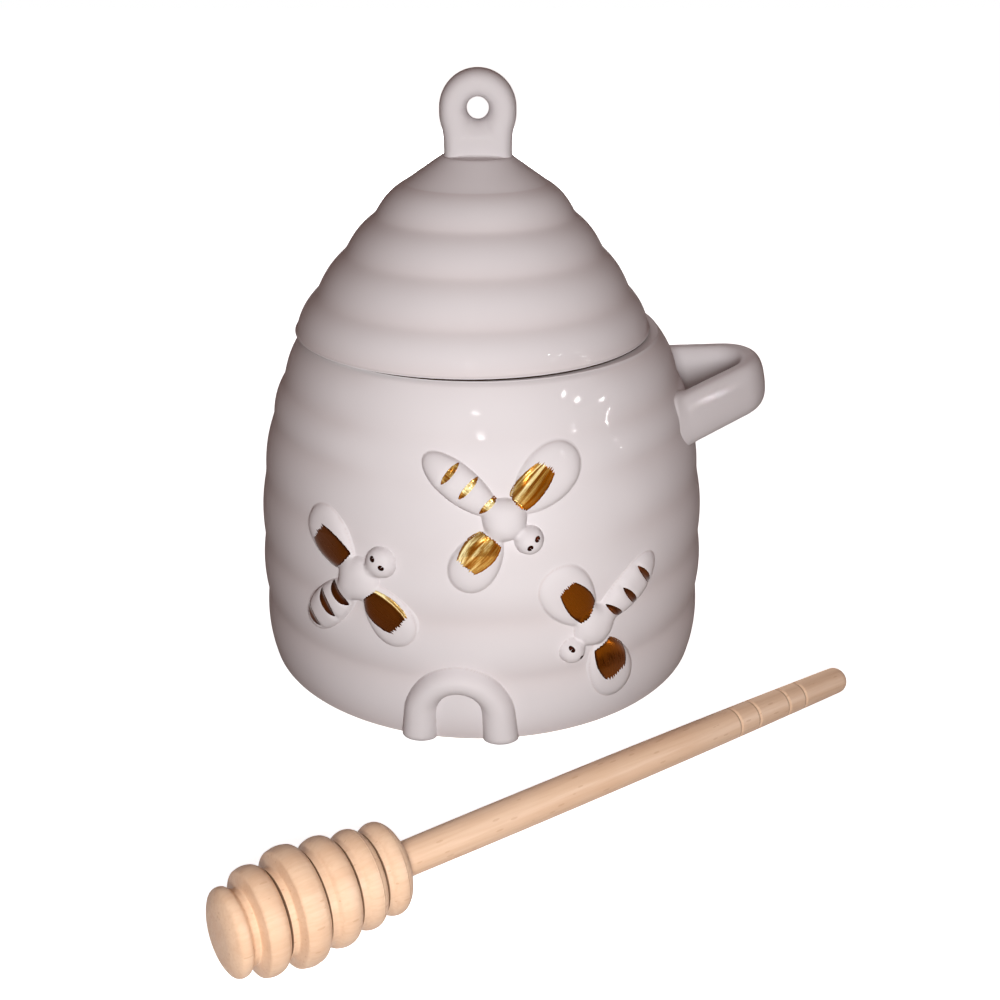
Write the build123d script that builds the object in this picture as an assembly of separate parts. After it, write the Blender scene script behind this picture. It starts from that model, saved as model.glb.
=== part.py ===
from build123d import *
from math import acos, asin, atan2, cos, degrees, hypot, radians, sin, tan
import os

# A beehive-shaped stoneware honey pot with a lift-off lid and a wooden dipper.
# Millimetres, +Z up. The pot's axis is Z and it stands on z = 0. Its front, with the
# doorway and the bees, faces -Y; azimuths are measured from there towards +X.

# ---- Hive curve: the radius of pot and lid at every height -------------------
BELLY_RADIUS = 54.0
BELLY_HEIGHT = 18.1
CLOSING_RISE = 53.0
ROUNDNESS = 2.77
TAPER = 1.28
COIL_BULGE = 0.9
SEAM_HEIGHT = 79.8
CROWN_RISE = 40.5
POT_GROOVE_SHARES = (0.193, 0.371, 0.571, 0.748, 0.861)
LID_GROOVE_SHARES = (0.225, 0.454, 0.659, 0.844)

# ---- Pot ---------------------------------------------------------------------
POT_WALL = 4.2
FLOOR_THICKNESS = 5.0
FOOT_ROUND = 0.8
FOOT_RING_WIDTH = 5.0
FOOT_RECESS = 1.4
FLOOR_CORNER = 9.0
RIM_WIDTH = 4.8
RIM_DEPTH = 6.0
EDGE_ROUND = 0.5
CAVITY_SHARES = (0.376, 0.564, 0.727)

# ---- Lid ---------------------------------------------------------------------
LID_WALL = 4.0
LID_SHIFT = -1.1
FLANGE_GAP = 1.5
FLANGE_WALL = 3.2
FLANGE_DEPTH = 4.6
CROWN_MARGIN = 0.6
LID_CAVITY_SHARES = (0.351, 0.573, 0.77)

# ---- Knob --------------------------------------------------------------------
KNOB_SHIFT = 0.9
KNOB_RADIUS = 8.8
KNOB_CENTRE_RISE = 9.9
KNOB_THICKNESS = 9.0
KNOB_EDGE_ROUND = 3.4
KNOB_NECK_WIDTH = 15.2
KNOB_NECK_RISE = 1.6
KNOB_HOLE_RADIUS = 2.5
KNOB_HOLE_LIP = 1.1

# ---- Side loop that holds the dipper -----------------------------------------
LOOP_AZIMUTH = 94.9
LOOP_ROOT_DEPTH = 1.56
LOOP_ROOT_SPREAD = 25.1
LOOP_ROOT_DROP = 19.0
LOOP_PROUD = 20.04
LOOP_TIP_BEND = 10.7
LOOP_TILT = 11.3
STRAP_HEIGHT = 12.4
STRAP_THICKNESS = 5.0
STRAP_ROUND = 2.3
LOOP_ROOT_OVERRUN = 7.0

# ---- Doorway arch ------------------------------------------------------------
DOOR_AZIMUTH = -4.7
DOOR_BAND_WIDTH = 7.0
DOOR_WIDTH = 24.2
DOOR_HEIGHT = 19.2
DOOR_PROUD = 3.7

# ---- Bees: azimuth, share of the pot's height and heading of each thorax, and how
# far its left and right wings lean forward
BEES = {
    "bee_top": (6.0, 0.663, -39.0, 9.0, 6.0),
    "bee_left": (-27.6, 0.475, 46.0, -3.0, -9.0),
    "bee_right": (26.8, 0.3246, -144.5, 12.0, -2.0),
}
THORAX = (4.6, 4.3, 3.8)
HEAD = (3.0, 3.0, 3.2)
ABDOMEN = (9.0, 3.5, 3.3)
WING = (8.3, 5.3, 2.5)
HEAD_OFFSET = 6.6
ABDOMEN_OFFSET = 11.6
WING_OFFSET = 11.2
EYE_RADIUS = 0.6
EYE_FORWARD = 1.1
EYE_SPREAD = 1.45
LUSTRE_THICKNESS = 0.08
PATCH_START = 5.2
PATCH_LENGTH = 9.2
PATCH_WIDTH = 5.2
STRIPE_OFFSETS = (6.3, 10.9, 15.7)
STRIPE_WIDTH = 1.3
STRIPE_SPAN = 6.4
LUMP_SINK = 0.4

# ---- Dipper, lying on the table in front of the pot --------------------------
DIPPER_LENGTH = 157.0
DIPPER_HEAD_END = (-42.3, -124.6)
DIPPER_AZIMUTH = 35.6
DISC_RADII = (7.7, 9.45, 10.5, 9.8, 9.0, 8.5)
DISC_STARTS = (1.0, 5.1, 11.4, 18.4, 24.4, 29.8)
DISC_ENDS = (3.8, 9.7, 16.6, 22.9, 28.4, 33.6)
DISC_CROWN = 1.0
GROOVE_RADII = (6.2, 7.2, 8.1, 7.7, 7.0)
HEAD_LENGTH = 35.0
HEAD_COLLAR_RADIUS = 5.0
HANDLE_HEAD_RADIUS = 3.25
HANDLE_MIDDLE_RADIUS = 3.5
HANDLE_TIP_RADIUS = 3.0
HANDLE_TIP_ROUND = 2.4
TENON_LENGTH = 18.0
TENON_GAP = 0.05
SCORE_FROM_TIP = (15.4, 21.0, 30.6, 36.5)
SCORE_DEPTH = 0.35
SCORE_WIDTH = 0.9

# ---- Working steps -----------------------------------------------------------
SLOPE_STEP = 0.01
MATCH_TOLERANCE = 0.01


def hive_radius(height):
    """Radius of the hive at a height, before the coils bulge."""
    closing = SEAM_HEIGHT + CLOSING_RISE
    rise = abs(height - BELLY_HEIGHT) / (closing - BELLY_HEIGHT)
    return BELLY_RADIUS * (1 - rise**ROUNDNESS) ** TAPER


def pot_heights(shares):
    """Heights at shares of the way from the table up to the seam."""
    return [SEAM_HEIGHT * share for share in shares]


def lid_heights(shares):
    """Heights at shares of the way from the seam up to the lid's crown."""
    return [SEAM_HEIGHT + CROWN_RISE * share for share in shares]


def crown_height():
    """Height of the flat crown that carries the knob."""
    return SEAM_HEIGHT + CROWN_RISE


def hive_normal(height):
    """Outward unit normal of the hive curve, as its radial and upward parts."""
    slope = (hive_radius(height + SLOPE_STEP) - hive_radius(height - SLOPE_STEP)) / (2 * SLOPE_STEP)
    return 1 / hypot(1, slope), -slope / hypot(1, slope)


def at(radius, height):
    """A point of a lathe outline."""
    return Vector(radius, 0, height)


def inset(height, wall):
    """The point of a lathe outline one wall's thickness inside the hive."""
    out, up = hive_normal(height)
    return at(hive_radius(height) - wall * out, height - wall * up)


def bulged_arc(start, end, bulge):
    """An arc from start to end that bows outward by the bulge."""
    chord = end - start
    out = Vector(chord.Z, 0, -chord.X).normalized()
    middle = (start + end) / 2 + out * bulge
    return ThreePointArc(start, middle, end)


def coils(bottom, heights, top):
    """The bulging coils from one point up to another, parted at grooves on the hive."""
    stops = [bottom] + [at(hive_radius(height), height) for height in heights] + [top]
    return [bulged_arc(low, high, COIL_BULGE) for low, high in zip(stops, stops[1:])]


def corner(start, centre, end):
    """A quarter round from start to end about a centre."""
    radius = (start - centre).length
    middle = centre + ((start + end) / 2 - centre).normalized() * radius
    return ThreePointArc(start, middle, end)


def chain(*points):
    """Straight edges through a run of points."""
    return [Line(a, b) for a, b in zip(points, points[1:])]


def lathe(edges):
    """The solid of revolution of a closed outline about Z."""
    return revolve(Face(Wire(edges)), Axis.Z)


def pot_outer_edges():
    """The pot's outside from the foot ring to the rim, and its first and last points."""
    foot_radius = hive_radius(FOOT_ROUND)
    foot = at(foot_radius - FOOT_ROUND, 0)
    shoulder = at(foot_radius, FOOT_ROUND)
    rim_radius = hive_radius(SEAM_HEIGHT)
    rim_side = at(rim_radius, SEAM_HEIGHT - EDGE_ROUND)
    rim_top = at(rim_radius - EDGE_ROUND, SEAM_HEIGHT)
    edges = [corner(foot, at(foot.X, FOOT_ROUND), shoulder)]
    edges += coils(shoulder, pot_heights(POT_GROOVE_SHARES), rim_side)
    edges += [corner(rim_side, at(rim_top.X, rim_side.Z), rim_top)]
    return edges, foot, rim_top


def pot_blank():
    """The pot filled solid up to its rim, for trimming what stands on its wall."""
    edges, foot, rim_top = pot_outer_edges()
    return lathe(chain(foot, at(0, 0), at(0, SEAM_HEIGHT), rim_top) + edges)


def mouth_radius():
    """Radius of the pot's mouth, inside the rim."""
    return hive_radius(SEAM_HEIGHT) - RIM_WIDTH


def pot_body():
    """The hive-shaped jar: foot ring, coiled wall, hollow and thick rim."""
    edges, foot, rim_top = pot_outer_edges()
    floor = FOOT_RECESS + FLOOR_THICKNESS
    mouth = mouth_radius()
    mouth_top = at(mouth + EDGE_ROUND, SEAM_HEIGHT)
    mouth_side = at(mouth, SEAM_HEIGHT - EDGE_ROUND)
    mouth_foot = at(mouth, SEAM_HEIGHT - RIM_DEPTH)
    wall_foot = inset(floor + FLOOR_CORNER, POT_WALL)
    floor_edge = at(wall_foot.X - FLOOR_CORNER, floor)
    wall = [inset(height, POT_WALL) for height in pot_heights(CAVITY_SHARES)]
    edges += chain(rim_top, mouth_top)
    edges += [corner(mouth_top, at(mouth_top.X, mouth_side.Z), mouth_side)]
    edges += chain(mouth_side, mouth_foot)
    edges += [Spline(wall_foot, *wall, mouth_foot)]
    edges += [corner(wall_foot, at(floor_edge.X, wall_foot.Z), floor_edge)]
    edges += chain(
        floor_edge,
        at(0, floor),
        at(0, FOOT_RECESS),
        at(foot.X - FOOT_RING_WIDTH - FOOT_RECESS, FOOT_RECESS),
        at(foot.X - FOOT_RING_WIDTH, 0),
        foot,
    )
    return lathe(edges)


def lid_dome():
    """The hollow lid: coils under a conical crown, a flat seat on the rim and a flange in the mouth."""
    edge_radius = hive_radius(SEAM_HEIGHT)
    seat_edge = at(edge_radius - EDGE_ROUND, SEAM_HEIGHT)
    edge_side = at(edge_radius, SEAM_HEIGHT + EDGE_ROUND)
    crown_edge = at(KNOB_NECK_WIDTH / 2 + CROWN_MARGIN, crown_height())
    flange_radius = mouth_radius() - FLANGE_GAP
    bore_radius = flange_radius - FLANGE_WALL
    flange_foot = SEAM_HEIGHT - FLANGE_DEPTH
    flange_side = at(flange_radius, flange_foot + EDGE_ROUND)
    flange_tip = at(flange_radius - EDGE_ROUND, flange_foot)
    hollow_foot = at(bore_radius, SEAM_HEIGHT)
    hollow_top = at(0, crown_height() - LID_WALL)
    hollow = [inset(height, LID_WALL) for height in lid_heights(LID_CAVITY_SHARES)]
    grooves = lid_heights(LID_GROOVE_SHARES)
    top_groove = at(hive_radius(grooves[-1]), grooves[-1])
    edges = [corner(seat_edge, at(seat_edge.X, edge_side.Z), edge_side)]
    edges += coils(edge_side, grooves[:-1], top_groove)
    edges += chain(top_groove, crown_edge, at(0, crown_height()), hollow_top)
    edges += [Spline(hollow_foot, *hollow, hollow_top, tangents=[(0, 0, 1), (-1, 0, 0)])]
    edges += chain(hollow_foot, at(bore_radius, flange_foot), flange_tip)
    edges += [corner(flange_tip, at(flange_tip.X, flange_side.Z), flange_side)]
    edges += chain(flange_side, at(flange_radius, SEAM_HEIGHT), seat_edge)
    return Pos(LID_SHIFT, 0) * lathe(edges)


def lid_knob():
    """The pierced, rounded knob that stands on the lid's crown."""
    seat = crown_height()
    centre = seat + KNOB_CENTRE_RISE
    half_neck = KNOB_NECK_WIDTH / 2
    drop = KNOB_CENTRE_RISE - KNOB_NECK_RISE
    to_neck = atan2(-drop, half_neck)
    to_touch = to_neck + acos(KNOB_RADIUS / hypot(half_neck, drop))
    touch_x = KNOB_RADIUS * cos(to_touch)
    touch_z = centre + KNOB_RADIUS * sin(to_touch)
    right = [(touch_x, touch_z), (half_neck, centre - drop), (half_neck, seat)]
    left = [(-x, z) for x, z in reversed(right)]
    stem = Polygon(*right, *left, align=None)
    outline = stem + Pos(0, centre) * Circle(KNOB_RADIUS)
    knob = extrude(Plane.XZ * outline, KNOB_THICKNESS / 2, both=True)
    faces = knob.faces().filter_by(Axis.Y)
    rims = [edge for edge in faces.edges() if edge.center().Z > seat + MATCH_TOLERANCE]
    knob = fillet(rims, KNOB_EDGE_ROUND)
    hole = Pos(0, 0, centre) * Rot(90, 0, 0) * Cylinder(KNOB_HOLE_RADIUS, 2 * KNOB_THICKNESS)
    knob = knob - hole
    lips = knob.edges().filter_by(GeomType.CIRCLE).filter_by(
        lambda edge: abs(edge.radius - KNOB_HOLE_RADIUS) < MATCH_TOLERANCE
    )
    return Pos(LID_SHIFT + KNOB_SHIFT, 0) * fillet(lips, KNOB_HOLE_LIP)


def side_loop(blank):
    """The strap loop on the pot's side: two straight arms joined by a round tip."""
    facing = radians(LOOP_AZIMUTH)
    spread = radians(LOOP_ROOT_SPREAD)
    root_height = SEAM_HEIGHT - LOOP_ROOT_DROP
    root_radius = hive_radius(root_height) - LOOP_ROOT_DEPTH
    start = root_radius * cos(spread)
    half_span = root_radius * sin(spread)
    outward = Vector(sin(facing), -cos(facing), 0)
    tilt = radians(LOOP_TILT)
    along = outward * cos(tilt) + Vector(0, 0, sin(tilt))
    across = Vector(cos(facing), sin(facing), 0)
    plane = Plane(outward * start + Vector(0, 0, root_height), x_dir=along, z_dir=along.cross(across))
    reach = hive_radius(root_height) + LOOP_PROUD
    centre = reach - STRAP_THICKNESS / 2 - LOOP_TIP_BEND - start
    arm = atan2(half_span, centre) - asin(LOOP_TIP_BEND / hypot(half_span, centre))
    touch = (centre + LOOP_TIP_BEND * sin(arm), -LOOP_TIP_BEND * cos(arm))
    root = (-LOOP_ROOT_OVERRUN * cos(arm), -half_span - LOOP_ROOT_OVERRUN * sin(arm))
    path = Wire([
        Line(root, touch),
        ThreePointArc(touch, (centre + LOOP_TIP_BEND, 0), (touch[0], -touch[1])),
        Line((touch[0], -touch[1]), (root[0], -root[1])),
    ])
    path = plane * path
    section = Plane(path @ 0, x_dir=plane.z_dir, z_dir=path % 0)
    strap = sweep(section * RectangleRounded(STRAP_HEIGHT, STRAP_THICKNESS, STRAP_ROUND), path)
    return strap - blank


def door_arch(blank):
    """The raised doorway at the foot: an oval band bent over the opening."""
    facing = radians(DOOR_AZIMUTH)
    half_width = (DOOR_WIDTH - DOOR_BAND_WIDTH) / 2
    spring = DOOR_HEIGHT - DOOR_BAND_WIDTH / 2 - half_width
    distance = hive_radius(BELLY_HEIGHT) * cos(asin(half_width / hive_radius(BELLY_HEIGHT)))
    outward = Vector(sin(facing), -cos(facing), 0)
    plane = Plane(outward * distance, x_dir=Vector(cos(facing), sin(facing), 0), z_dir=outward)
    left, right = (-half_width, spring), (half_width, spring)
    path = Wire([
        Line((-half_width, -DOOR_BAND_WIDTH), left),
        ThreePointArc(left, (0, spring + half_width), right),
        Line(right, (half_width, -DOOR_BAND_WIDTH)),
    ])
    path = plane * path
    section = Plane(path @ 0, x_dir=outward, z_dir=path % 0)
    band = sweep(section * Ellipse(DOOR_PROUD, DOOR_BAND_WIDTH / 2), path)
    table = Pos(0, 0, -BELLY_RADIUS) * Box(4 * BELLY_RADIUS, 4 * BELLY_RADIUS, 2 * BELLY_RADIUS)
    return band - table - blank


def on_hive(bee, forward, side):
    """The plane that touches the hive at a place on a bee, facing the bee's way.

    The place is stepped off from the thorax along the curved wall: forward and to the
    bee's left, turned by its heading into steps round the hive and up it.
    """
    azimuth, share, heading, _, _ = bee
    height = SEAM_HEIGHT * share
    turn = radians(heading)
    around = forward * cos(turn) - side * sin(turn)
    up = forward * sin(turn) + side * cos(turn)
    out, _ = hive_normal(height + up / 2)
    place_height = height + up * out
    radius = hive_radius(place_height) + LUMP_SINK
    facing = radians(azimuth) + around / radius
    out, rise = hive_normal(place_height)
    normal = Vector(out * sin(facing), -out * cos(facing), rise)
    tangent = Vector(cos(facing), sin(facing), 0)
    uphill = normal.cross(tangent)
    origin = Vector(radius * sin(facing), -radius * cos(facing), place_height)
    return Plane(origin, x_dir=tangent * cos(turn) + uphill * sin(turn), z_dir=normal)


def lump(plane, semi_axes, growth=0.0):
    """An ellipsoid on a plane, with its semi-axes grown by an even amount."""
    return plane * scale(Sphere(1), by=tuple(semi + growth for semi in semi_axes))


def on_wing(bee, side, distance):
    """The plane on the hive at a distance out along a wing, on the left (1) or right (-1)."""
    lean = radians(bee[3] if side > 0 else bee[4])
    place = on_hive(bee, distance * sin(lean), side * distance * cos(lean))
    return place * Rot(0, 0, -side * degrees(lean))


def bee_lumps(bee, growth=0.0):
    """The five rounded lumps of a bee: thorax, head, abdomen and two wings."""
    wing = (WING[1], WING[0], WING[2])
    return {
        "thorax": lump(on_hive(bee, 0, 0), THORAX, growth),
        "head": lump(on_hive(bee, HEAD_OFFSET, 0), HEAD, growth),
        "abdomen": lump(on_hive(bee, -ABDOMEN_OFFSET, 0), ABDOMEN, growth),
        "left_wing": lump(on_wing(bee, 1, WING_OFFSET), wing, growth),
        "right_wing": lump(on_wing(bee, -1, WING_OFFSET), wing, growth),
    }


def bee_body(bee, blank):
    """A whole bee in relief, trimmed to the pot's wall."""
    lumps = list(bee_lumps(bee).values())
    return lumps[0] + lumps[1:] - blank


def bee_lustre(bee, body, blank):
    """The gold on a bee: a patch on each wing, three stripes and two eyes."""
    grown = bee_lumps(bee, LUSTRE_THICKNESS)
    reach = 4 * WING[2]
    middle = PATCH_START + PATCH_LENGTH / 2
    patches = [
        grown[name] & (on_wing(bee, side, middle) * Box(PATCH_WIDTH, PATCH_LENGTH, reach))
        for name, side in (("left_wing", 1), ("right_wing", -1))
    ]
    stripes = [
        grown["abdomen"] & (on_hive(bee, -offset, 0) * Box(STRIPE_WIDTH, STRIPE_SPAN, reach))
        for offset in STRIPE_OFFSETS
    ]
    eye_rise = (HEAD[2] ** 2 - EYE_FORWARD**2 - EYE_SPREAD**2) ** 0.5
    eyes = [
        on_hive(bee, HEAD_OFFSET, 0) * Pos(EYE_FORWARD, side * EYE_SPREAD, eye_rise) * Sphere(EYE_RADIUS)
        for side in (1, -1)
    ]
    gold = patches[0] + patches[1:] + stripes + eyes
    return gold - body - blank


def dipper_rest():
    """The tilt and axis height at which the widest disc and the tip both touch z = 0."""
    widest = DISC_RADII.index(max(DISC_RADII))
    half = (DISC_ENDS[widest] - DISC_STARTS[widest]) / 2
    rim_round = (half**2 + DISC_CROWN**2) / (2 * DISC_CROWN)
    disc_at = DISC_STARTS[widest] + half
    disc_in = DISC_RADII[widest] - rim_round
    tip_at = DIPPER_LENGTH - HANDLE_TIP_ROUND
    tip_in = HANDLE_TIP_RADIUS - HANDLE_TIP_ROUND
    span = hypot(tip_at - disc_at, disc_in - tip_in)
    tilt = atan2(disc_in - tip_in, tip_at - disc_at) - asin((HANDLE_TIP_ROUND - rim_round) / span)
    return tilt, rim_round + disc_in * cos(tilt) + disc_at * sin(tilt)


def lay_down(solid):
    """Turns a dipper piece, made along Z from the head's end, to where it lies."""
    tilt, height = dipper_rest()
    turn = Rot(0, 0, DIPPER_AZIMUTH) * Rot(0, 90 + degrees(tilt), 0)
    return Pos(*DIPPER_HEAD_END, height) * turn * solid


def disc_edges(radius, low, high, groove):
    """The outline of one disc: up from the groove before it and over its crowned rim."""
    shoulder = radius - DISC_CROWN
    side = chain(at(groove, low), at(shoulder, low))
    return side + [ThreePointArc(at(shoulder, low), at(radius, (low + high) / 2), at(shoulder, high))]


def domed_end():
    """The outline of the head's domed end face, out to the first disc's rim."""
    edge = at(DISC_RADII[0] - DISC_CROWN, DISC_STARTS[0])
    return ThreePointArc(at(0, 0), at(edge.X / 2, edge.Z / 4), edge)


def dipper_head():
    """The turned head: six crowned discs with grooves between them, bored for the handle."""
    edges = [domed_end(), disc_edges(DISC_RADII[0], DISC_STARTS[0], DISC_ENDS[0], 0)[-1]]
    for radius, low, high, groove in zip(DISC_RADII[1:], DISC_STARTS[1:], DISC_ENDS[1:], GROOVE_RADII):
        before = edges[-1] @ 1
        edges += chain(before, at(groove, before.Z), at(groove, low))
        edges += disc_edges(radius, low, high, groove)
    bore = HANDLE_HEAD_RADIUS + TENON_GAP
    bore_foot = HEAD_LENGTH - TENON_LENGTH - TENON_GAP
    edges += chain(
        edges[-1] @ 1,
        at(HEAD_COLLAR_RADIUS, HEAD_LENGTH),
        at(bore, HEAD_LENGTH),
        at(bore, bore_foot),
        at(0, bore_foot),
        at(0, 0),
    )
    return lay_down(lathe(edges))


def handle_radius(height, low, high):
    """Radius of the barrelled handle: a parabola through its head, middle and tip radii."""
    share = (height - low) / (high - low)
    ends = HANDLE_HEAD_RADIUS * (1 - share) + HANDLE_TIP_RADIUS * share
    belly = HANDLE_MIDDLE_RADIUS - (HANDLE_HEAD_RADIUS + HANDLE_TIP_RADIUS) / 2
    return ends + 4 * belly * share * (1 - share)


def dipper_handle():
    """The slightly barrelled handle, scored near its rounded tip."""
    foot = HEAD_LENGTH - TENON_LENGTH
    tip_side = at(HANDLE_TIP_RADIUS, DIPPER_LENGTH - HANDLE_TIP_ROUND)
    tip_top = at(HANDLE_TIP_RADIUS - HANDLE_TIP_ROUND, DIPPER_LENGTH)
    neck = at(HANDLE_HEAD_RADIUS, HEAD_LENGTH)
    middle = at(HANDLE_MIDDLE_RADIUS, (neck.Z + tip_side.Z) / 2)
    edges = chain(at(0, foot), at(HANDLE_HEAD_RADIUS, foot), neck)
    edges += [ThreePointArc(neck, middle, tip_side)]
    edges += [corner(tip_side, at(tip_top.X, tip_side.Z), tip_top)]
    edges += chain(tip_top, at(0, DIPPER_LENGTH), at(0, foot))
    handle = lathe(edges)
    for distance in SCORE_FROM_TIP:
        height = DIPPER_LENGTH - distance
        radius = handle_radius(height, neck.Z, tip_side.Z)
        bottom = at(radius - SCORE_DEPTH, height)
        upper = at(radius + SCORE_DEPTH, height + SCORE_WIDTH)
        lower = at(radius + SCORE_DEPTH, height - SCORE_WIDTH)
        handle -= lathe(chain(bottom, upper, lower, bottom))
    return lay_down(handle)


def build():
    """Every named piece of the honey pot."""
    blank = pot_blank()
    pieces = {
        "pot_body": pot_body(),
        "side_loop": side_loop(blank),
        "door_arch": door_arch(blank),
        "lid_dome": lid_dome(),
        "lid_knob": lid_knob(),
        "dipper_head": dipper_head(),
        "dipper_handle": dipper_handle(),
    }
    for name, bee in BEES.items():
        body = bee_body(bee, blank)
        pieces[name] = body
        pieces[name + "_lustre"] = bee_lustre(bee, body, blank)
    return pieces


os.makedirs("parts", exist_ok=True)
for name, piece in build().items():
    export_step(piece, os.path.join("parts", name + ".step"))
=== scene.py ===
import bmesh
import bpy
import numpy as np
from mathutils import Euler, Matrix, Vector


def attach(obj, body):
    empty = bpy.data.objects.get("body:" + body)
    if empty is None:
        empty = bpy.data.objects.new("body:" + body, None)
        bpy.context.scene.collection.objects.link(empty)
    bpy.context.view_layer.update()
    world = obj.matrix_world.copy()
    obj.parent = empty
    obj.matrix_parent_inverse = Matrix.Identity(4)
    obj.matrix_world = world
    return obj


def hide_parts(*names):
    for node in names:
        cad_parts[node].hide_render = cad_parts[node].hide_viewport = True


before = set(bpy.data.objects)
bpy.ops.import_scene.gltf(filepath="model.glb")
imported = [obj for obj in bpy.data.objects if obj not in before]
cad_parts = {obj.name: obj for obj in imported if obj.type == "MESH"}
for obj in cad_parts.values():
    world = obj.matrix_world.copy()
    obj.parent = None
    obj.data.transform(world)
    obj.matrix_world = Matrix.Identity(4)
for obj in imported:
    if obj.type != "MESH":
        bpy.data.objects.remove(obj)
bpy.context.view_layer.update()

# A beehive-shaped stoneware honey pot, glazed off-white with bees in gold lustre, and
# its beech dipper. Shapes are worked out in millimetres, with the pot's axis on Z and
# its front towards -Y, and made in metres. Azimuths run from the front towards +X. A
# corner's cut is how far from it its rounding starts.
MM = 0.001
WELD = 1e-8
LEAST_STEP = 0.05

# ---- Hive curve ---------------------------------------------------------------
# The radius falls from the belly's to nothing at the closing height, over the crown. The
# grooves lie at shares of the way up to the seam and from there to the crown, and glaze
# fills them in part at the front.
BELLY_RADIUS = 54.0
BELLY_HEIGHT = 18.1
CLOSING_HEIGHT = 132.8
ROUNDNESS = 2.77
TAPER = 1.28
SEAM_HEIGHT = 79.8
CROWN_HEIGHT = 120.3
COIL_BULGE = 0.9
GROOVE_SOFTNESS = 0.3
GROOVE_DEPTH = 0.7
OPEN_SOFTNESS = 0.02
COIL_ROWS = 22
POT_GROOVES = SEAM_HEIGHT * np.array([0.193, 0.371, 0.571, 0.748, 0.861])
LID_GROOVES = SEAM_HEIGHT + (CROWN_HEIGHT - SEAM_HEIGHT) * np.array([0.225, 0.454, 0.659, 0.844])
FILLED_SWELL = 0.72
FADE_DEPTH = 0.75
FADE_AZIMUTHS = (26.0, 46.0)
FADE_HEIGHTS = (34.0, 43.0)
FADE_CENTRE = 2.0
SLOPE_STEP = 0.05

# ---- Pot and lid --------------------------------------------------------------
COLUMNS = 256
POT_WALL = 4.2
FLOOR_HEIGHT = 6.4
FLOOR_CORNER = 9.0
FLOOR_CORNER_CUT = 8.0
FOOT_ROUND = 0.2
FOOT_STEPS = 9
FOOT_RING_WIDTH = 5.0
FOOT_RECESS = 1.4
FOOT_CUT = 0.7
MOUTH_RADIUS = 37.118
MOUTH_CUT = 0.8
RIM_DEPTH = 6.0
EDGE_ROUND = 0.25
POT_CAVITY = SEAM_HEIGHT * np.array([0.376, 0.564, 0.727])
LID_WALL = 4.0
LID_GAP = 0.4
FLANGE_RADIUS = MOUTH_RADIUS - 1.5
FLANGE_BORE = FLANGE_RADIUS - 3.2
FLANGE_FOOT = SEAM_HEIGHT - 4.6
FLANGE_CUTS = (0.4, 0.8)
CROWN_RADIUS = 8.2
CROWN_CONE = ((6.0, CROWN_HEIGHT - 0.5), (CROWN_RADIUS, CROWN_HEIGHT - 0.7))
LID_CAVITY = SEAM_HEIGHT + (CROWN_HEIGHT - SEAM_HEIGHT) * np.array([0.351, 0.573, 0.77])
HOLLOW_DROP = 1.5
LID_SHIFT = -1.95
LID_LEAN = 0.0283
# The dark ring of painted shade at the seat, as distances past the lid's edge.
SEAT_START = (-2.2, -1.6)
SEAT_END = (-0.6, -0.2)
LEVEL_SLACK = 0.02
# Spacings of the points along stretches of the two outlines.
UNDER_STEP, LIP_STEP, FLOOR_STEP = 3.0, 0.4, 4.0
CROWN_STEP, SEAT_STEP = 1.0, 0.6

# ---- Knob ---------------------------------------------------------------------
KNOB_X = -0.45
KNOB_HEIGHT = 130.1
KNOB_RADIUS = 8.65
KNOB_HALF_THICKNESS = 4.5
KNOB_HOLE_RADIUS = 2.45
KNOB_SQUARENESS = 2.35
NECK_HALF_WIDTH = 7.75
NECK_REACH = 13.0
NECK_BLEND = 0.7
NECK_SQUARENESS = 2.8
NECK_STARTS_OVER = 0.3
LEAST_SLANT = 0.05
COVE_WIDTH = 1.3
COVE_HEIGHT = 1.2
COVE_SIDE_SHARE = 0.4
COVE_INSETS = (0.3, 0.4)
COVE_SINK = 0.05
# How far inside the knob and under the crown the cove is closed.
COVE_BACK = -1.5
COVE_FOOT = -1.0
KNOB_GRID = (144, 48)
COVE_STEPS = 8

# ---- Side loop ----------------------------------------------------------------
LOOP_AZIMUTH = 94.9
LOOP_ROOT_HEIGHT = 60.8
LOOP_ROOT_DEPTH = 1.56
LOOP_ROOT_SPREAD = 25.1
LOOP_PROUD = 20.04
LOOP_TIP_BEND = 10.7
LOOP_TILT = 11.3
LOOP_OVERRUN = 5.0
STRAP_HEIGHT = 12.6
STRAP_THICKNESS = 5.0
STRAP_CROWNED = 6.1
STRAP_SQUARENESS = 2.6
# How much the strap spreads close to the wall, from how far off, and how much more below.
ROOT_SPREAD = 0.12
ROOT_REACH = 2.2
ROOT_DROP = 5.0
ROOT_RUN = 8
ROOT_STEP = 0.3
TIP_STEPS, ARM_STEPS, STRAP_COLUMNS = 49, 12, 40

# ---- Doorway ------------------------------------------------------------------
DOOR_AZIMUTH = -4.7
DOOR_HALF_SPAN = 8.6
DOOR_SPRING = 7.5
DOOR_HALF_BAND = 3.6
# Over its spring the band gets thinner and its outer edge softer, by these and over a height.
DOOR_THIN_TOP = 0.6
DOOR_SOFT_TOP = 0.4
DOOR_TOP_OVER = 12
DOOR_TAPER = 0.009
DOOR_PROUD = 3.3
DOOR_POWERS = (2.2, 0.62)
DOOR_TOE = 2.6
DOOR_TOE_POWER = 2.4
DOOR_SOLE = 0.01
DOOR_CLEARANCE = 0.3
DOOR_EXTENT = (17.0, 24.0)
DOOR_GRID = (150, 120)
DOOR_ROW_POWER = 1.25

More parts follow.
